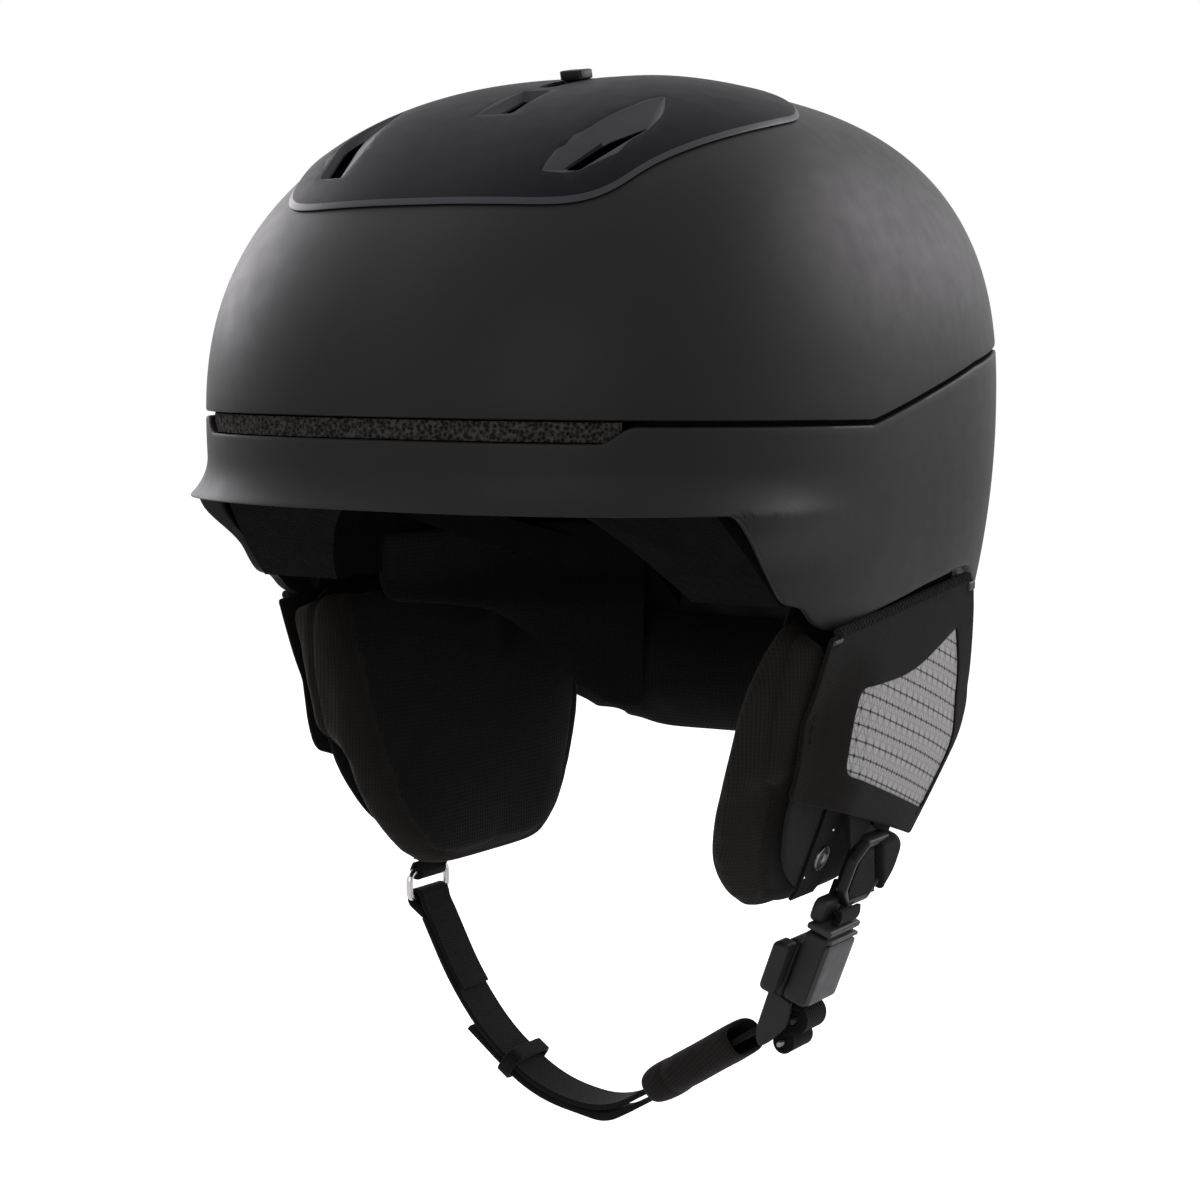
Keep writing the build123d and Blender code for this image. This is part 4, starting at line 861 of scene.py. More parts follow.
def corner_path(points, share, count=9):
    """Open route with each corner replaced by a curve; a corner's curve takes a share of its shorter run."""
    points = [Vector(p) for p in points]
    path = [points[0]]
    for before, corner, after in zip(points, points[1:], points[2:]):
        cut = share * min((corner - before).length, (after - corner).length)
        start, end = (corner + (other - corner).normalized() * cut for other in (before, after))
        for step in range(count):
            t = step / (count - 1)
            path.append(start * (1 - t) ** 2 + corner * (2 * t * (1 - t)) + end * t * t)
    return path + [points[-1]]


def resampled(path, step):
    """The same line with points about one step apart."""
    lengths = [0.0]
    for a, b in zip(path, path[1:]):
        lengths.append(lengths[-1] + (b - a).length)
    count = max(2, int(lengths[-1] / step + 0.5) + 1)
    out, index = [], 0
    for i in range(count):
        want = lengths[-1] * i / (count - 1)
        while index < len(path) - 2 and lengths[index + 1] < want:
            index += 1
        span = lengths[index + 1] - lengths[index] or 1.0
        out.append(path[index].lerp(path[index + 1], min((want - lengths[index]) / span, 1.0)))
    return out


def smooth_route(points, step=1.0, share=0.45):
    return resampled(corner_path(points, share), step)


def heading(path, index, closed):
    """Direction of a path at one of its points."""
    before = path[index - 1] if index or closed else path[0]
    after = path[(index + 1) % len(path)] if index < len(path) - 1 or closed else path[-1]
    return (after - before).normalized()


def strap_section(width, wall):
    """Cross-section of webbing as (across, out): flat faces, rounded and slightly thickened edges."""
    half, thick = width / 2, wall / 2
    face = [half * k / 5 for k in range(-4, 5)]
    edge = [(half - 0.25 * wall, thick * 1.06), (half - 0.06 * wall, thick * 0.65), (half, 0.0),
            (half - 0.06 * wall, -thick * 0.65), (half - 0.25 * wall, -thick * 1.06)]
    return [(v, thick) for v in face] + edge + [(v, -thick) for v in reversed(face)] + [(-v, -n) for v, n in edge]


def ribbon(name, path, width, wall, body, replaced=(), finish="webbing", slot="webbing", across=ACROSS,
           closed=False):
    """Strap along a path; across gives the direction of its width."""
    section = strap_section(width, wall)
    verts, uvs, length = [], [], 0.0
    for index, point in enumerate(path):
        along = heading(path, index, closed)
        out = along.cross(across.normalized()).normalized()
        wide = out.cross(along).normalized()
        if index:
            length += (point - path[index - 1]).length
        for v, n in section:
            verts.append(point + wide * v + out * n)
            uvs.append((length * MM, v * MM))
    faces = row_faces(len(path), len(section), closed, caps=not closed)
    return make_object(name, verts, faces, finish, body, slot, replaced, uvs=uvs)


def tube(name, path, radii, finish, body, slot, replaced=(), closed=False, sides=14):
    """Round tube with one radius, or with a list of them for the points of its path."""
    verts = []
    radii = radii if isinstance(radii, list) else [radii] * len(path)
    out = (path[1] - path[0]).normalized().orthogonal().normalized()
    for index, (point, radius) in enumerate(zip(path, radii)):
        along = heading(path, index, closed)
        out = (out - along * out.dot(along)).normalized()
        other = along.cross(out)
        for k in range(sides):
            turn = 2 * pi * k / sides
            verts.append(point + out * (radius * cos(turn)) + other * (radius * sin(turn)))
    faces = row_faces(len(path), sides, closed, caps=not closed)
    return make_object(name, verts, faces, finish, body, slot, replaced, sharp=60.0)


# ---------------------------------------------------------------- ear pads

HINGE_X = HALF_WIDTH * (1 - LOWER_TAPER * (57.0 / TAPER_DEPTH) ** 2) - 1.9
PAD_REACH = HINGE_X - 9.5
BACKING_WALL, FLAP_WALL = 1.5, 1.4
# Height, sideways distance of the outer face and thickness of the cushion, from the bottom up.
CUSHION_LEVELS = [(-160.0, PAD_REACH - 30.0, 8.0), (-154.0, PAD_REACH - 20.5, 19.5),
                  (-146.0, PAD_REACH - 17.5, 23.5), (-128.0, PAD_REACH - 11.0, 26.0),
                  (-108.0, PAD_REACH - 4.0, 27.0), (-85.0, PAD_REACH - 1.0, 23.0), (-72.0, PAD_REACH - 0.4, 17.0),
                  (-59.5, PAD_REACH, 10.0)]
# Share of the thickness and depth of each welt, the width of both, and the shares where the lining and the
# backing cloth begin.
WELTS, WELT_WIDTH, INNER_SHARE, BACK_SHARE = ((0.16, 1.5), (0.80, 1.3)), 1.1, 0.80, 0.16
# In front of this the cushion has no backing and only the flap covers it.
BACKING_FRONT = -50.0
FLAP_OUTLINE = [(-62.0, -65.2, 1.5), (48.0, -53.6, 3.0), (51.0, -88.0, 12.0), (56.0, -97.0, 6.0),
                (50.0, -112.0, 9.0), (35.0, -141.0, 1.2), (-60.0, -116.0, 4.0)]
WINDOW_OUTLINE = [(-38.0, -83.0, 4.0), (-2.0, -81.5, 14.0), (34.0, -70.0, 1.5), (46.0, -112.0, 9.0),
                  (36.0, -132.0, 2.0), (-39.0, -110.0, 5.0)]
BACKING_OUTLINE = [(-42.0, -67.0, 4.0), (56.0, -67.0, 4.0), (58.0, -112.0, 14.0), (40.0, -140.0, 12.0),
                   (16.0, -153.0, 9.0), (-24.0, -152.0, 9.0), (-44.0, -140.0, 9.0), (-56.0, -118.0, 14.0)]
WINDOW_GROWTH = (1.05, 1.07)
# How the cushion bends in before its middle and behind BEND_START, and where the flap lies over it.
FRONT_BEND, REAR_BEND, BEND_START = 0.0004, 0.0012, 5.0
FLAP_FRONT, FLAP_EASE, FLAP_LOW, FLAP_RISE, FLAP_GAP, FLAP_SPREAD = -62.0, 36.0, -92.0, 28.0, 3.2, 7.8
BACKING_GAP = 1.2
FLAP_TABS = {"front": [(-61.0, -66.2, 0.4), (-55.5, -65.6, 0.4), (-55.5, -66.9, 0.4), (-61.0, -67.6, 0.4)],
             "rear": [(42.5, -55.6, 0.6), (47.5, -55.0, 0.6), (47.5, -58.0, 0.6), (42.5, -58.4, 0.6)]}
SEAM_ROUTE = [(-57.2, -66.5), (-57.0, -90.0), (-55.6, -111.5), (32.0, -135.0), (46.5, -111.5), (52.5, -97.0)]


def cushion_outer(z):
    return polyline_at([level[:2] for level in CUSHION_LEVELS], z)


def cushion_wall(z):
    return polyline_at([level[::2] for level in CUSHION_LEVELS], z)


def cushion_face(y, z):
    """Sideways distance of the cushion's outer face, which bends in towards its front and rear."""
    bend = FRONT_BEND * min(y, 0.0) ** 2 + REAR_BEND * max(y - BEND_START, 0.0) ** 2
    return (cushion_outer(z - 3.0) + cushion_outer(z) + cushion_outer(z + 3.0)) / 3 - bend


def backing_face(y, z):
    return cushion_face(y, z) + BACKING_GAP


def flap_face(y, z):
    """Inner face of the flap, whose top meets the hinge line."""
    ease = smooth_step((y - FLAP_FRONT) / FLAP_EASE)
    rise = min(max((z - FLAP_LOW) / FLAP_RISE, 0.0), 1.0)
    low = cushion_face(y, z) + FLAP_GAP + FLAP_SPREAD * ease
    return low + (HINGE_X + 0.2 - low) * rise


def side_sheet(name, outline, face, rungs, spacing, side, finish, body, slot, replaced=(), holes=(),
               hole_rungs=()):
    """Sheet over one side: its outline is given as (y, z) and its face as a sideways distance."""
    borders = [rim(refine(rounded(outline), spacing * 0.8), rungs)]
    borders += [rim(refine(rounded(hole), spacing * 0.8), hole_rungs, hole=True) for hole in holes]
    verts, faces = sheet_solid(borders, lambda y, z, h: (side * (face(y, z) + h), y, z), rungs[0][1],
                               rungs[-1][1], spacing)
    return make_object(name, verts, faces, finish, body, slot, replaced, sharp=50.0)


def sewn_sheet(part, outline, face, rungs, spacing, side, label, holes=(), hole_rungs=()):
    """Sheet sewn over the ear cushion; the size and area of its flat cut are worked out from its outline and its
    holes, and not used further.
    """
    piece = side_sheet("ear_%s_sheet_%s" % (part, label), outline, face, rungs, spacing, side, part,
                       "ear_" + label, part, ("ear_%s_%s" % (part, label),), holes, hole_rungs)
    ys, zs = [corner[0] for corner in outline], [corner[1] for corner in outline]
    flat = ((max(ys) - min(ys)) * MM, (max(zs) - min(zs)) * MM)
    area = abs(outline_area(outline)) / 2 - sum(abs(outline_area(hole)) / 2 for hole in holes)
    area * MM * MM


def swell(piece, pressure, cap, frames=20):
    """Blow a closed cloth up a little; no point moves further than cap."""
    start = [v.co.copy() for v in piece.data.vertices]
    settings = piece.modifiers.new("cloth", "CLOTH").settings
    settings.quality = 5
    settings.tension_stiffness = 20.0
    settings.bending_stiffness = 1.0
    settings.use_pressure = True
    settings.uniform_pressure_force = pressure
    settings.effector_weights.gravity = 0.0
    for number in range(1, frames + 1):
        bpy.context.scene.frame_set(number)
    graph = bpy.context.evaluated_depsgraph_get()
    moved = [v.co.copy() for v in piece.evaluated_get(graph).data.vertices]
    piece.modifiers.clear()
    bpy.context.scene.frame_set(1)
    for vertex, before, after in zip(piece.data.vertices, start, moved):
        shift = after - before
        if shift.length > cap * MM:
            shift *= cap * MM / shift.length
        vertex.co = before + shift


def cushion(name, node, finish, body, slot, voxel, shrink, cap, subdivisions, fill):
    """Padded piece started from its CAD solid: even skin, rounded by smoothing, then swollen as cloth."""
    piece = link_piece(name, node_mesh(node, finish), body, slot, (node,), 180.0)
    apply_modifier(piece, "REMESH", mode="VOXEL", voxel_size=voxel * MM)
    with edited(piece.data) as work:
        for _ in range(3):
            bmesh.ops.smooth_vert(work, verts=work.verts, factor=0.5, use_axis_x=True, use_axis_y=True,
                                  use_axis_z=True)
        work.normal_update()
        for vertex in work.verts:
            vertex.co -= vertex.normal * shrink * MM
    swell(piece, 4.0, cap)
    apply_modifier(piece, "SUBSURF", levels=subdivisions)
    soften(piece.data, 180.0)
    return piece


def ear_share(point):
    """Where a point lies across the ear cushion's thickness: 0 on the outer face and 1 on the inner."""
    x, y, z = point
    return (cushion_face(y, z) - abs(x)) / cushion_wall(z)


def ear_cushion():
    """Left cushion: swollen, kept off its backing, with a welt along both rims; the right one mirrors it."""
    mesh = cushion("ear_cushion_left", "ear_pad_left", "pad", "ear_left", "ear_cover", 4.5, 1.2, 3.5, 2, 0.7).data
    normals = [vertex.normal.copy() for vertex in mesh.vertices]
    for vertex, normal in zip(mesh.vertices, normals):
        x, y, z = vertex.co / MM
        limit = (backing_face(y, z) if y > BACKING_FRONT else flap_face(y, z)) - 0.15
        share = ear_share((min(x, limit), y, z))
        for seam, depth in WELTS:
            gap = (share - seam) * cushion_wall(z)
            vertex.co -= normal * depth * hump(gap / WELT_WIDTH) * MM
        vertex.co.x = min(vertex.co.x, limit * MM)
    for name in ("brushed", "backing"):
        mesh.materials.append(finishes[name])
    for polygon in mesh.polygons:
        centre = polygon.center / MM
        share = ear_share(centre)
        low = centre.z < -112.0 + 0.35 * centre.y
        polygon.material_index = 1 if share > INNER_SHARE else 2 if low and share < BACK_SHARE else 0
    other = mesh.copy()
    for vertex in other.vertices:
        vertex.co.x = -vertex.co.x
    right = link_piece("ear_cushion_right", other, "ear_right", "ear_cover", ("ear_pad_right",), 180.0)


def ear_covers(side, label):
    """Backing, flap with its window, piping along the hinge, tabs at its ends and the row of stitches."""
    body, wall = "ear_" + label, BACKING_WALL
    sewn_sheet("backing", BACKING_OUTLINE, backing_face,
               [(1.2, wall), (0.5, wall - 0.1), (0.1, wall - 0.5), (0.0, 0.7), (0.1, 0.25), (0.5, 0.0)], 4.0, side,
               label)
    wall = FLAP_WALL
    sewn_sheet("flap", FLAP_OUTLINE, flap_face,
               [(1.0, wall), (0.4, wall - 0.08), (0.08, wall - 0.4), (0.0, 0.7), (0.08, 0.3), (0.4, 0.0)], 3.0,
               side, label, [WINDOW_OUTLINE], [(0.6, wall), (0.15, wall - 0.12), (0.0, wall - 0.4), (0.0, 0.0)])
    middle = [sum(corner[axis] for corner in WINDOW_OUTLINE) / len(WINDOW_OUTLINE) for axis in (0, 1)]
    grown = [(*(middle[axis] + (corner[axis] - middle[axis]) * WINDOW_GROWTH[axis] for axis in (0, 1)), corner[2])
             for corner in WINDOW_OUTLINE]
    sewn_sheet("window", grown, flap_face, [(0.2, 0.78), (0.0, 0.5), (0.2, 0.25)], 3.0, side, label)
    top = [Vector((side * (HINGE_X + 0.9), y, -65.2 + (y + 62.0) * 11.6 / 110.0 + 0.7))
           for y in (-58.0, -20.0, 15.0, 44.0)]
    path = smooth_route(top, 0.4)
    twist = [1.4 + 0.24 * sin(2 * pi * i / 4.5) for i in range(len(path))]
    tube("ear_piping_" + label, path, twist, "piping", body, "flap")
    for place, corners in FLAP_TABS.items():
        side_sheet("flap_tab_%s_%s" % (place, label), corners, flap_face, [(0.4, 2.1), (0.0, 1.8), (0.0, 1.2)],
                   1.0, side, "buckle_face", body, "flap")
    seam = [Vector((side * (flap_face(y, z) + FLAP_WALL), y, z)) for y, z in SEAM_ROUTE]
    stitches = smooth_route(seam, 1.3, 0.12)
    for number in range(0, len(stitches) - 2, 3):
        tube("flap_stitch_%03d_%s" % (number, label), stitches[number:number + 3], 0.22, "piping", body, "flap",
             sides=6)


# ---------------------------------------------------------------- side straps and dividers

STRAP_WIDTH, STRAP_WALL, SIDE_WIDTH, SIDE_WALL = 18.0, 1.8, 15.0, 1.6
TILT = radians(20.0)
DOWN, OUTWARD = Vector((-sin(TILT), 0, -cos(TILT))), Vector((cos(TILT), 0, -sin(TILT)))
DIVIDER = Vector((PAD_REACH - 9.0, 0, -146.0))
WEB_MIDDLE, WEB_REACH = DIVIDER + OUTWARD * (STRAP_WALL / 2), 11.6
WEB_TOP, WEB_BOTTOM = WEB_MIDDLE - DOWN * WEB_REACH, WEB_MIDDLE + DOWN * WEB_REACH
FRONT_HANGER, REAR_HANGER = Vector((HINGE_X - 3.9, -40.0, -62.6)), Vector((HINGE_X - 2.0, 42.0, -53.6))
# The two folds of webbing seen in the divider ring: outline, low and high face and rounding.
FOLDS = {"a": ([(-11.4, -5.8, 1.5), (-7.8, -9.4, 1.5), (13.5, -10.4, 1.5), (8.0, -2.6, 6.0), (1.5, 4.6, 6.0),
                (-2.4, 9.4, 1.5), (-7.8, 9.4, 1.5), (-11.4, 5.8, 1.5)], 1.9, 5.5, 0.9),
         "b": ([(15.6, -10.2, 2.0), (20.5, -2.5, 4.0), (19.0, 8.0, 4.0), (10.5, 12.6, 3.0), (-0.6, 10.4, 2.0),
                (3.2, 5.8, 6.0), (10.2, -2.2, 6.0)], 1.6, 6.9, 1.6)}


def sided(vector, side):
    """The same point or direction on the left side (1) or mirrored on the right (-1)."""
    return Vector((vector.x * side, vector.y, vector.z))


def slab(name, corners, low, high, edge, place, finish, body, slot, replaced=(), holes=(), spacing=2.5):
    """Flat piece with rounded corners and rounded edges; place turns (u, v, height) into a point."""
    turns = [radians(a) for a in (0, 30, 60, 90)]
    rungs = [(edge * (1 - sin(t)), high - edge * (1 - cos(t))) for t in turns]
    rungs += [(edge * (1 - sin(t)), low + edge * (1 - cos(t))) for t in reversed(turns)]
    borders = [rim(refine(rounded(corners, 6), spacing * 0.8), rungs)]
    borders += [rim(refine(rounded(hole, 5), spacing * 0.8), rungs, hole=True) for hole in holes]
    verts, faces = sheet_solid(borders, place, high, low, spacing)
    return make_object(name, verts, faces, finish, body, slot, replaced, sharp=50.0)


def octagon(width, height, cut, corner=1.0):
    w, h = width / 2, height / 2
    points = [(-w, -h + cut), (-w + cut, -h), (w - cut, -h), (w, -h + cut), (w, h - cut), (w - cut, h),
              (-w + cut, h), (-w, h - cut)]
    return [(x, y, corner) for x, y in points]


def stud(name, place, direction, radius, finish, body, slot):
    """Small domed stud whose head faces one way."""
    heads = [(0.0, 0.999), (0.25, 0.97), (0.6, 0.8), (0.85, 0.5), (1.0, 0.05)]
    tube(name, [place + direction * radius * along for along, _ in heads], [radius * wide for _, wide in heads],
         finish, body, slot, sides=12)


def side_straps(side, label):
    """Two straps from the shell, their divider ring and the webbing inside it, the snap and its tab."""
    body = "ear_" + label
    step = SIDE_WIDTH / 2 + 0.3
    for name, hanger, shift in (("front_strap_", FRONT_HANGER, -step), ("rear_strap_", REAR_HANGER, step)):
        path = resampled([sided(hanger, side), sided(WEB_TOP + ACROSS * shift, side)], 2.0)
        ribbon(name + "band_" + label, path, SIDE_WIDTH, SIDE_WALL, body, (name + label,))

    def at_divider(u, v, height):
        return sided(DIVIDER + ACROSS * u - DOWN * v + OUTWARD * height, side)

    path = resampled([sided(WEB_TOP + DOWN * 0.4, side), sided(WEB_BOTTOM - DOWN * 0.4, side)], 1.5)
    ribbon("divider_band_" + label, path, 21.0, STRAP_WALL, body, ("divider_web_" + label,))
    slab("divider_ring_" + label, octagon(29.0, 24.0, 6.5), 2.1, 5.6, 0.8, at_divider, "divider", body, "divider",
         ("strap_divider_" + label,), holes=[octagon(24.2, 19.2, 5.0, 0.7)], spacing=1.6)
    for fold, (corners, low, high, edge) in FOLDS.items():
        slab("divider_fold_%s_%s" % (fold, label), corners, low, high, edge, at_divider, "webbing_plain", body,
             "webbing", spacing=1.6)
    softened("strap_snap_" + label, "dark_steel", body, "dark_steel", 0.35)

    def on_backing(y, z, out):
        return Vector((side * (backing_face(y, z) + BACKING_WALL + out), y, z))

    tab = [on_backing(-20.0, z, 0.55) for z in range(-118, -155, -3)]
    ribbon("snap_tab_" + label, tab, 17.0, 1.0, body, finish="flap", slot="ear_cover")
    for number, (y, z) in enumerate(((-27.0, -146.5), (-17.0, -132.0))):
        stud("tab_stud_%d_%s" % (number, label), on_backing(y, z, 0.9), sided(OUTWARD, side), 0.6, "steel", body,
             "dark_steel")


# ---------------------------------------------------------------- buckle

BUCKLE = Vector((PAD_REACH - 15.8, -10.0, -177.7))
LEVER = [(-18.3, -6.4, 2.5), (-9.6, -6.4, 1.0), (-9.6, 9.0, 1.0), (-12.5, 11.0, 3.0), (-17.6, 11.6, 3.4)]
CHEEK = [(-9.9, 12.0, 1.0), (-1.2, 13.6, 1.0), (0.6, 21.0, 5.0), (-2.6, 28.0, 5.0), (-6.2, 33.0, 2.6),
         (-9.4, 29.0, 4.0)]
# Name, outline (u across, v down), low and high face, rounding, finish, body, slot and spacing of each slab.
BUCKLE_SLABS = [
    ("buckle_body", box_corners(-11.5, 11.5, -12.2, 13.0, 2.6), -4.5, 3.6, 1.3, "buckle", "ear_left",
     "buckle_body", 2.5),
    ("buckle_bar", box_corners(-11.7, 11.7, -15.2, -12.9, 1.1), -4.7, 4.2, 0.8, "buckle_edge", "ear_left",
     "buckle_body", 1.6),
    ("buckle_shoulder", box_corners(-10.8, 3.0, -23.5, -15.0, 3.5), -5.6, -1.3, 1.2, "buckle", "ear_left",
     "buckle_body", 2.5),
    ("buckle_plate", box_corners(-10.6, 10.6, -9.8, 12.0, 2.0), 3.0, 4.9, 0.8, "buckle_face", "ear_left",
     "buckle_face", 2.5),
    ("buckle_plate_lip", box_corners(-10.4, 10.4, -11.9, -10.5, 0.6), 3.0, 5.0, 0.5, "buckle_face", "ear_left",
     "buckle_face", 1.4),
    ("slide_plate", box_corners(-10.0, 10.0, -6.0, 24.0, 3.0), -9.9, -4.95, 1.2, "buckle", "chin",
     "buckle_body", 2.5),
    ("slide_lever", LEVER, -11.2, -5.6, 1.7, "buckle", "chin", "buckle_body", 2.5)]
BUCKLE_STANDS_FOR = {"buckle_body": ("buckle_socket",), "buckle_plate": ("buckle_face",),
                     "slide_plate": ("buckle_slide",)}
# Along, out, tall, deep, half length of its pin and the pin's finish, for the two bars of the slide.
BARS = [(19.6, 1.0, 4.3, 3.7, 9.0, "buckle"), (28.2, 0.0, 3.1, 2.9, 10.4, "dark_steel")]


def buckle_point(along, across, out):
    return BUCKLE + DOWN * along + ACROSS * across + OUTWARD * out


def buckle():
    """Magnetic side buckle: socket on the left pad, slide with its lever and two webbing-wrapped bars."""
    for name, corners, low, high, edge, finish, body, slot, spacing in BUCKLE_SLABS:
        slab(name, corners, low, high, edge, lambda u, v, h: buckle_point(v, u, h), finish, body, slot,
             BUCKLE_STANDS_FOR.get(name, ()), spacing=spacing)
    for number, low in enumerate((-10.4, 7.6)):
        slab("slide_cheek_%d" % number, CHEEK, low, low + 2.8, 0.9, lambda u, v, h: buckle_point(v, h, u),
             "buckle", "chin", "buckle_body")
    for number, (along, out, tall, deep, reach, pin_finish) in enumerate(BARS):
        for layer, grow in enumerate((0.0, -1.75)):
            turns = [2 * pi * k / 40 for k in range(40)]
            path = [buckle_point(along + (tall + grow) * sin(t), 0.6, out + (deep + grow) * cos(t)) for t in turns]
            ribbon("bar_wrap_%d_%d" % (number, layer), path, 15.2 - layer * 0.8, 1.7, "chin",
                   ("adjuster_web",) if number == layer == 0 else (), finish="webbing_plain", closed=True)
        ends = [buckle_point(along, across, out) for across in (-reach, -reach + 0.3, reach - 0.3, reach)]
        tube("bar_pin_%d" % number, ends, [0.6, 0.95, 0.95, 0.6], pin_finish, "chin", "buckle_body")
    path = resampled([WEB_BOTTOM, buckle_point(-15.0, 0, 0)], 1.0)
    ribbon("lower_band_left", path, STRAP_WIDTH - 2, STRAP_WALL, "ear_left", ("lower_strap_left",))
    fold = [buckle_point(along, 1.5, out) for along, out in ((-16.6, 1.0), (-16.2, 2.6), (-18.5, 3.1), (-21.0, 2.2))]
    ribbon("lower_fold_left", smooth_route(fold, 0.6), STRAP_WIDTH - 3, 1.4, "ear_left")


# ---------------------------------------------------------------- ring and chin strap

CHIN_Y = -10.0
RING_X, RING_Z, RING_HALF_WIDTH, RING_HEIGHT, RING_WIRE = 16.5 - PAD_REACH, -168.5, 13.0, 12.0, 1.5
CHIN_ROUTE = [(-72.9, -179.8), (-61.5, -201.0), (-47.0, -219.0), (-25.0, -234.5), (2.0, -238.5), (57.1, -202.2)]
TAIL_ROUTE = [(-53.5, -216.5), (-27.5, -236.4), (2.2, -241.0), (12.5, -235.0)]
FOLD_ROUTE = [(3.4, -2.0), (2.6, 1.6), (0.0, 2.7), (-2.6, 1.2), (-2.4, -2.4)]
KEEPER = Vector((-36.2, CHIN_Y, -226.9))
SLEEVE_START, SLEEVE_WALL, SLEEVE_SIDES = 19.5, 12.0, 48
# Powers of its flattened section, and the depth and count of its creases.
SLEEVE_WIDE_POWER, SLEEVE_TALL_POWER, CREASE_DEPTH, CREASES = 0.72, 0.8, 0.012, 5
# Distance along the sleeve and its scale there: out of its open end, over the outside and back inside.
SLEEVE_STATIONS = [
    (2.5, 0.30), (0.3, 0.46), (0.0, 0.64), (0.3, 0.86), (1.4, 0.97), (3.5, 1.03), (7.0, 1.03), (9.0, 0.985),
    (9.8, 0.93), (10.6, 0.975), (14.0, 0.99), (20.0, 0.97), (27.0, 0.97), (33.0, 0.99), (36.5, 0.98),
    (38.4, 0.96), (39.0, 0.90), (38.7, 0.84), (37.0, 0.78), (30.0, 0.70)]


def in_strap_plane(x, z):
    """Point given as seen from the front, in the plane of the chin strap."""
    return Vector((x, CHIN_Y, z))


def strap_frame(number):
    """Start of one run of the chin strap, its direction and the direction square to it."""
    low, high = (in_strap_plane(*corner) for corner in CHIN_ROUTE[number:number + 2])
    run = (high - low).normalized()
    return low, run, Vector((-run.z, 0, run.x))


def strap_ring():
    """Steel ring at the lower end of the right strap."""
    half, tall = RING_HALF_WIDTH - RING_WIRE, RING_HEIGHT / 2 - RING_WIRE
    outline = refine(rounded(box_corners(-half, half, -tall, tall, 3.2)), 1.5)
    path = [Vector((RING_X, CHIN_Y + y, RING_Z + z)) for y, z in outline]
    tube("strap_ring_wire", path, 1.25, "steel", "chin", "steel", ("strap_ring",), closed=True, sides=18)


def ring_webbing():
    """Loop of webbing round the ring's upper bar, and the strap that carries it."""
    top = in_strap_plane(RING_X, RING_Z + RING_HEIGHT / 2 + 1.3)
    bar = in_strap_plane(RING_X, RING_Z + RING_HEIGHT / 2 - RING_WIRE)
    turns = [radians(170 + 200 * step / 8) for step in range(9)]
    path = [top + Vector((-1.0, 0, 0))] + [bar + Vector((2.2 * cos(t), 0, 2.2 * sin(t))) for t in turns]
    path.append(top + Vector((1.0, 0, 0)))
    ribbon("ring_loop_band", resampled(path, 0.7), STRAP_WIDTH - 3, 1.5, "chin", ("ring_loop",))
    path = resampled([sided(WEB_BOTTOM, -1), top + Vector((0, 0, 3.0)), top + Vector((0, 0, 1.7))], 0.8)
    ribbon("lower_band_right", path, STRAP_WIDTH - 2, STRAP_WALL, "ring_link", ("lower_strap_right",))


def chin_strap():
    """Strap from the ring to the buckle, its fold round the ring's lower bar, and its free tail."""
    route = [in_strap_plane(*corner) for corner in CHIN_ROUTE]
    first = (route[1] - route[0]).normalized()
    run = smooth_route(route)
    ribbon("chin_strap_band", run, STRAP_WIDTH, STRAP_WALL, "chin", ("chin_strap",))
    fold = []
    for point, after in zip(run[:30], run[1:]):
        along = (after - point).normalized()
        fold.append(point - Vector((along.z, 0, -along.x)) * 1.85)
    bar = in_strap_plane(RING_X, RING_Z - RING_HEIGHT / 2 + RING_WIRE)
    lead = [fold[0]] + [bar + Vector((x, 0, z)) for x, z in FOLD_ROUTE] + [route[0] - first * 0.1]
    ribbon("chin_strap_fold", fold[::-1] + smooth_route(lead, 0.7)[1:], STRAP_WIDTH - 1.2, 1.5, "chin")
    tail = smooth_route([in_strap_plane(*corner) for corner in TAIL_ROUTE])
    ribbon("strap_tail_band", tail, STRAP_WIDTH, STRAP_WALL, "chin", ("strap_tail",))


def strap_keeper():
    """Elastic band round the strap and its tail."""
    _, run, out = strap_frame(2)
    half, tall = STRAP_WIDTH / 2 + 1.6, 4.2
    outline = refine(rounded(box_corners(-half, half, -tall, tall, 3.4)), 1.2)
    path = [KEEPER + ACROSS * u + out * v for u, v in outline]
    ribbon("strap_keeper_band", path, 5.2, 1.7, "keeper", ("strap_keeper",), across=run, closed=True)


def chin_sleeve():
    """Padded tube on the chin strap, fuller at its free end, with the strap's opening through it."""
    low, run, out = strap_frame(4)
    start = low + run * SLEEVE_START
    half_wide, half_tall = (STRAP_WIDTH + 7.0) / 2, SLEEVE_WALL / 2 + 0.4
    verts = []
    for along, scale in SLEEVE_STATIONS:
        for k in range(SLEEVE_SIDES):
            turn = 2 * pi * k / SLEEVE_SIDES
            c, s = cos(turn), sin(turn)
            wide = ACROSS * (half_wide * abs(c) ** SLEEVE_WIDE_POWER * (1 if c >= 0 else -1)) * max(scale, 0.8)
            tall = out * (half_tall * abs(s) ** SLEEVE_TALL_POWER * (1 if s >= 0 else -1)) * scale
            ripple = 1 + CREASE_DEPTH * sin(CREASES * turn + along * 0.5)
            verts.append(start + run * along + wide * ripple + tall * ripple)
    faces = row_faces(len(SLEEVE_STATIONS), SLEEVE_SIDES, closed=True)
    piece = make_object("chin_sleeve_pad", verts, faces, "sleeve", "sleeve", "fleece", ("chin_sleeve",), sharp=70.0)
    apply_modifier(piece, "SUBSURF", levels=1)


# ---------------------------------------------------------------- CAD pieces and inner pads

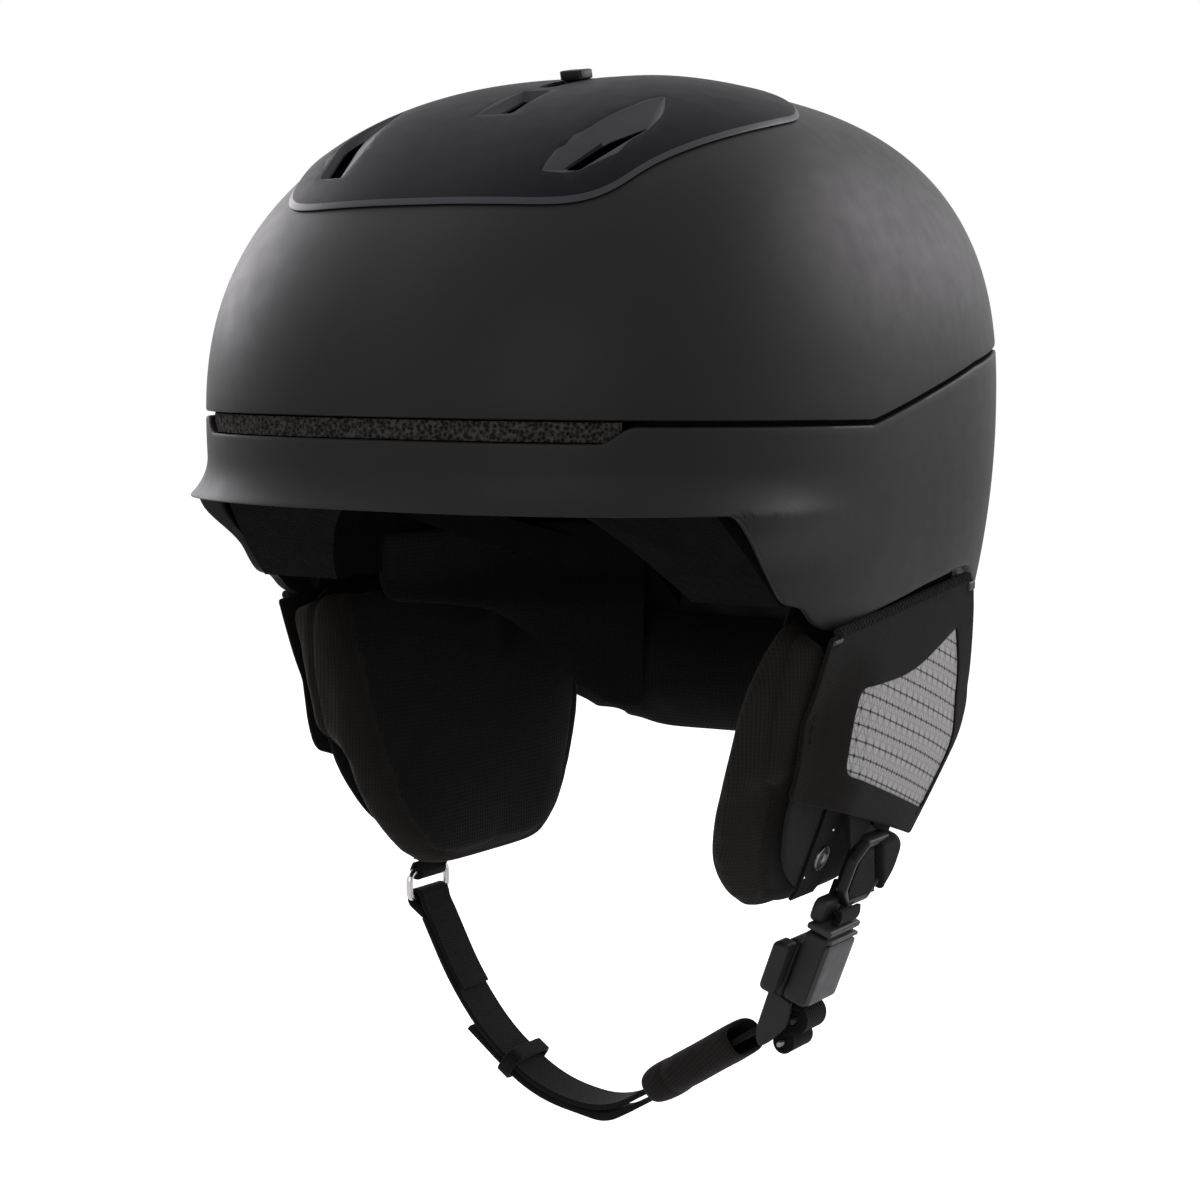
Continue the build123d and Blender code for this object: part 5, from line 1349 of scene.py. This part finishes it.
# CAD pieces whose shape is right keep it and get a finish.
KEPT_PIECES = {"foam": ["impact_foam"], "slip": ["slip_liner"], "vent": ["vent_shutter"],
               "moulded": ["slip_anchors", "shutter_guides", "cradle_rail", "dial_cover", "dial_pinion",
                           "strap_hangers_left", "strap_hangers_right"],
               "band": ["fit_band", "band_arm_left", "band_arm_right"], "steel": ["dial_axle", "goggle_clip_pin"],
               "dark_steel": ["socket_magnet", "slide_magnet"]}
KNOB_FOOT, KNOB_SQUEEZE = 1.5, 0.6
SKIRT_PATH = [(78.6, -38.0), (79.2, 0.0), (78.6, 26.0), (74.6, 48.0), (66.5, 66.0), (58.0, 78.0), (44.0, 86.0)]
SKIRT_FOOT = [(-38.0, -66.0), (0.0, -70.0), (26.0, -74.0), (48.0, -86.0), (66.0, -104.0), (78.0, -112.0),
              (86.0, -114.0)]
SKIRT_TOP, SKIRT_BEND, SKIRT_BEND_RUN, SKIRT_LEAN = -43.0, -58.0, 16.0, 7.0
SKIRT_RUNGS = [(2.4, 3.0), (1.2, 2.7), (0.4, 2.1), (0.0, 1.3), (0.3, 0.5), (1.0, 0.0)]


def small_parts():
    for finish, nodes in KEPT_PIECES.items():
        for node in nodes:
            repaint(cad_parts[node].data, finish)
    knob = softened("vent_knob", "knob", "shutter", "moulded", 0.9)
    for vertex in knob.data.vertices:
        x, y, z = vertex.co / MM
        surface = crown(x, y, KNOB_FOOT)
        if z > surface:
            vertex.co.z = (surface + (z - surface) * KNOB_SQUEEZE) * MM
    for node, body, width in (("rear_cradle", "cradle", 0.6), ("fit_dial", "dial", 0.5), ("goggle_clip", "clip", 0.8),
                              ("goggle_clip_base", "helmet", 0.5)):
        softened(node, "moulded", body, "moulded", width)


def liner_skirt(side, label):
    """Soft cloth skirt inside the foam's lower edge, from behind the temple to the nape pad."""
    path = smooth_route([Vector((side * x, y, 0.0)) for x, y in SKIRT_PATH], 2.0, 0.4)
    across = [0.0]
    for a, b in zip(path, path[1:]):
        across.append(across[-1] + (b - a).length)
    reach = across[-1]
    feet = [polyline_at(SKIRT_FOOT, point.y) for point in path]
    outline = [(0.0, SKIRT_TOP, 2.0), (0.0, feet[0], 5.0)]
    outline += [(across[i], feet[i], 3.0) for i in range(6, len(path) - 3, 6)]
    outline += [(reach, feet[-1], 4.0), (reach, SKIRT_TOP, 2.0)]

    def place(u, v, height):
        share = min(max(u / reach, 0.0), 1.0) * (len(path) - 1)
        index = min(int(share), len(path) - 2)
        point = path[index].lerp(path[index + 1], share - index)
        run = (path[index + 1] - path[index]).normalized()
        inward = Vector((-run.y, run.x, 0.0)) * side
        drop = smooth_step((SKIRT_BEND - v) / SKIRT_BEND_RUN)
        spot = point + inward * (height * 0.7 - 0.6 + SKIRT_LEAN * drop)
        return (spot.x, spot.y, v)

    verts, faces = sheet_solid([rim(refine(rounded(outline), 2.4), SKIRT_RUNGS)], place, 3.0, 0.0, 3.0)
    piece = make_object("liner_skirt_" + label, verts, faces, "brushed", "helmet", "comfort", sharp=60.0)


def inner_pads():
    for side, label in SIDES:
        liner_skirt(side, label)
    for name, node, voxel, shrink, cap, fill in (("nape_roll", "nape_pad", 4.5, 0.8, 3.0, 0.6),
                                                 ("brow_cushion", "brow_pad", 3.0, 0.3, 1.5, 0.5),
                                                 ("crown_cushion", "crown_pad", 3.5, 0.3, 1.5, 0.5)):
        cushion(name, node, "brushed", "helmet", "comfort", voxel, shrink, cap, 1, fill)


for step in (add_camera, add_lights, add_world, add_floor, upper_shell, lower_shell, top_plate, brim_filter,
             ear_cushion):
    step()
for side, label in SIDES:
    ear_covers(side, label)
    side_straps(side, label)
for step in (buckle, strap_ring, ring_webbing, chin_strap, strap_keeper, chin_sleeve, small_parts, inner_pads):
    step()

bpy.context.scene.view_settings.view_transform = "Standard"
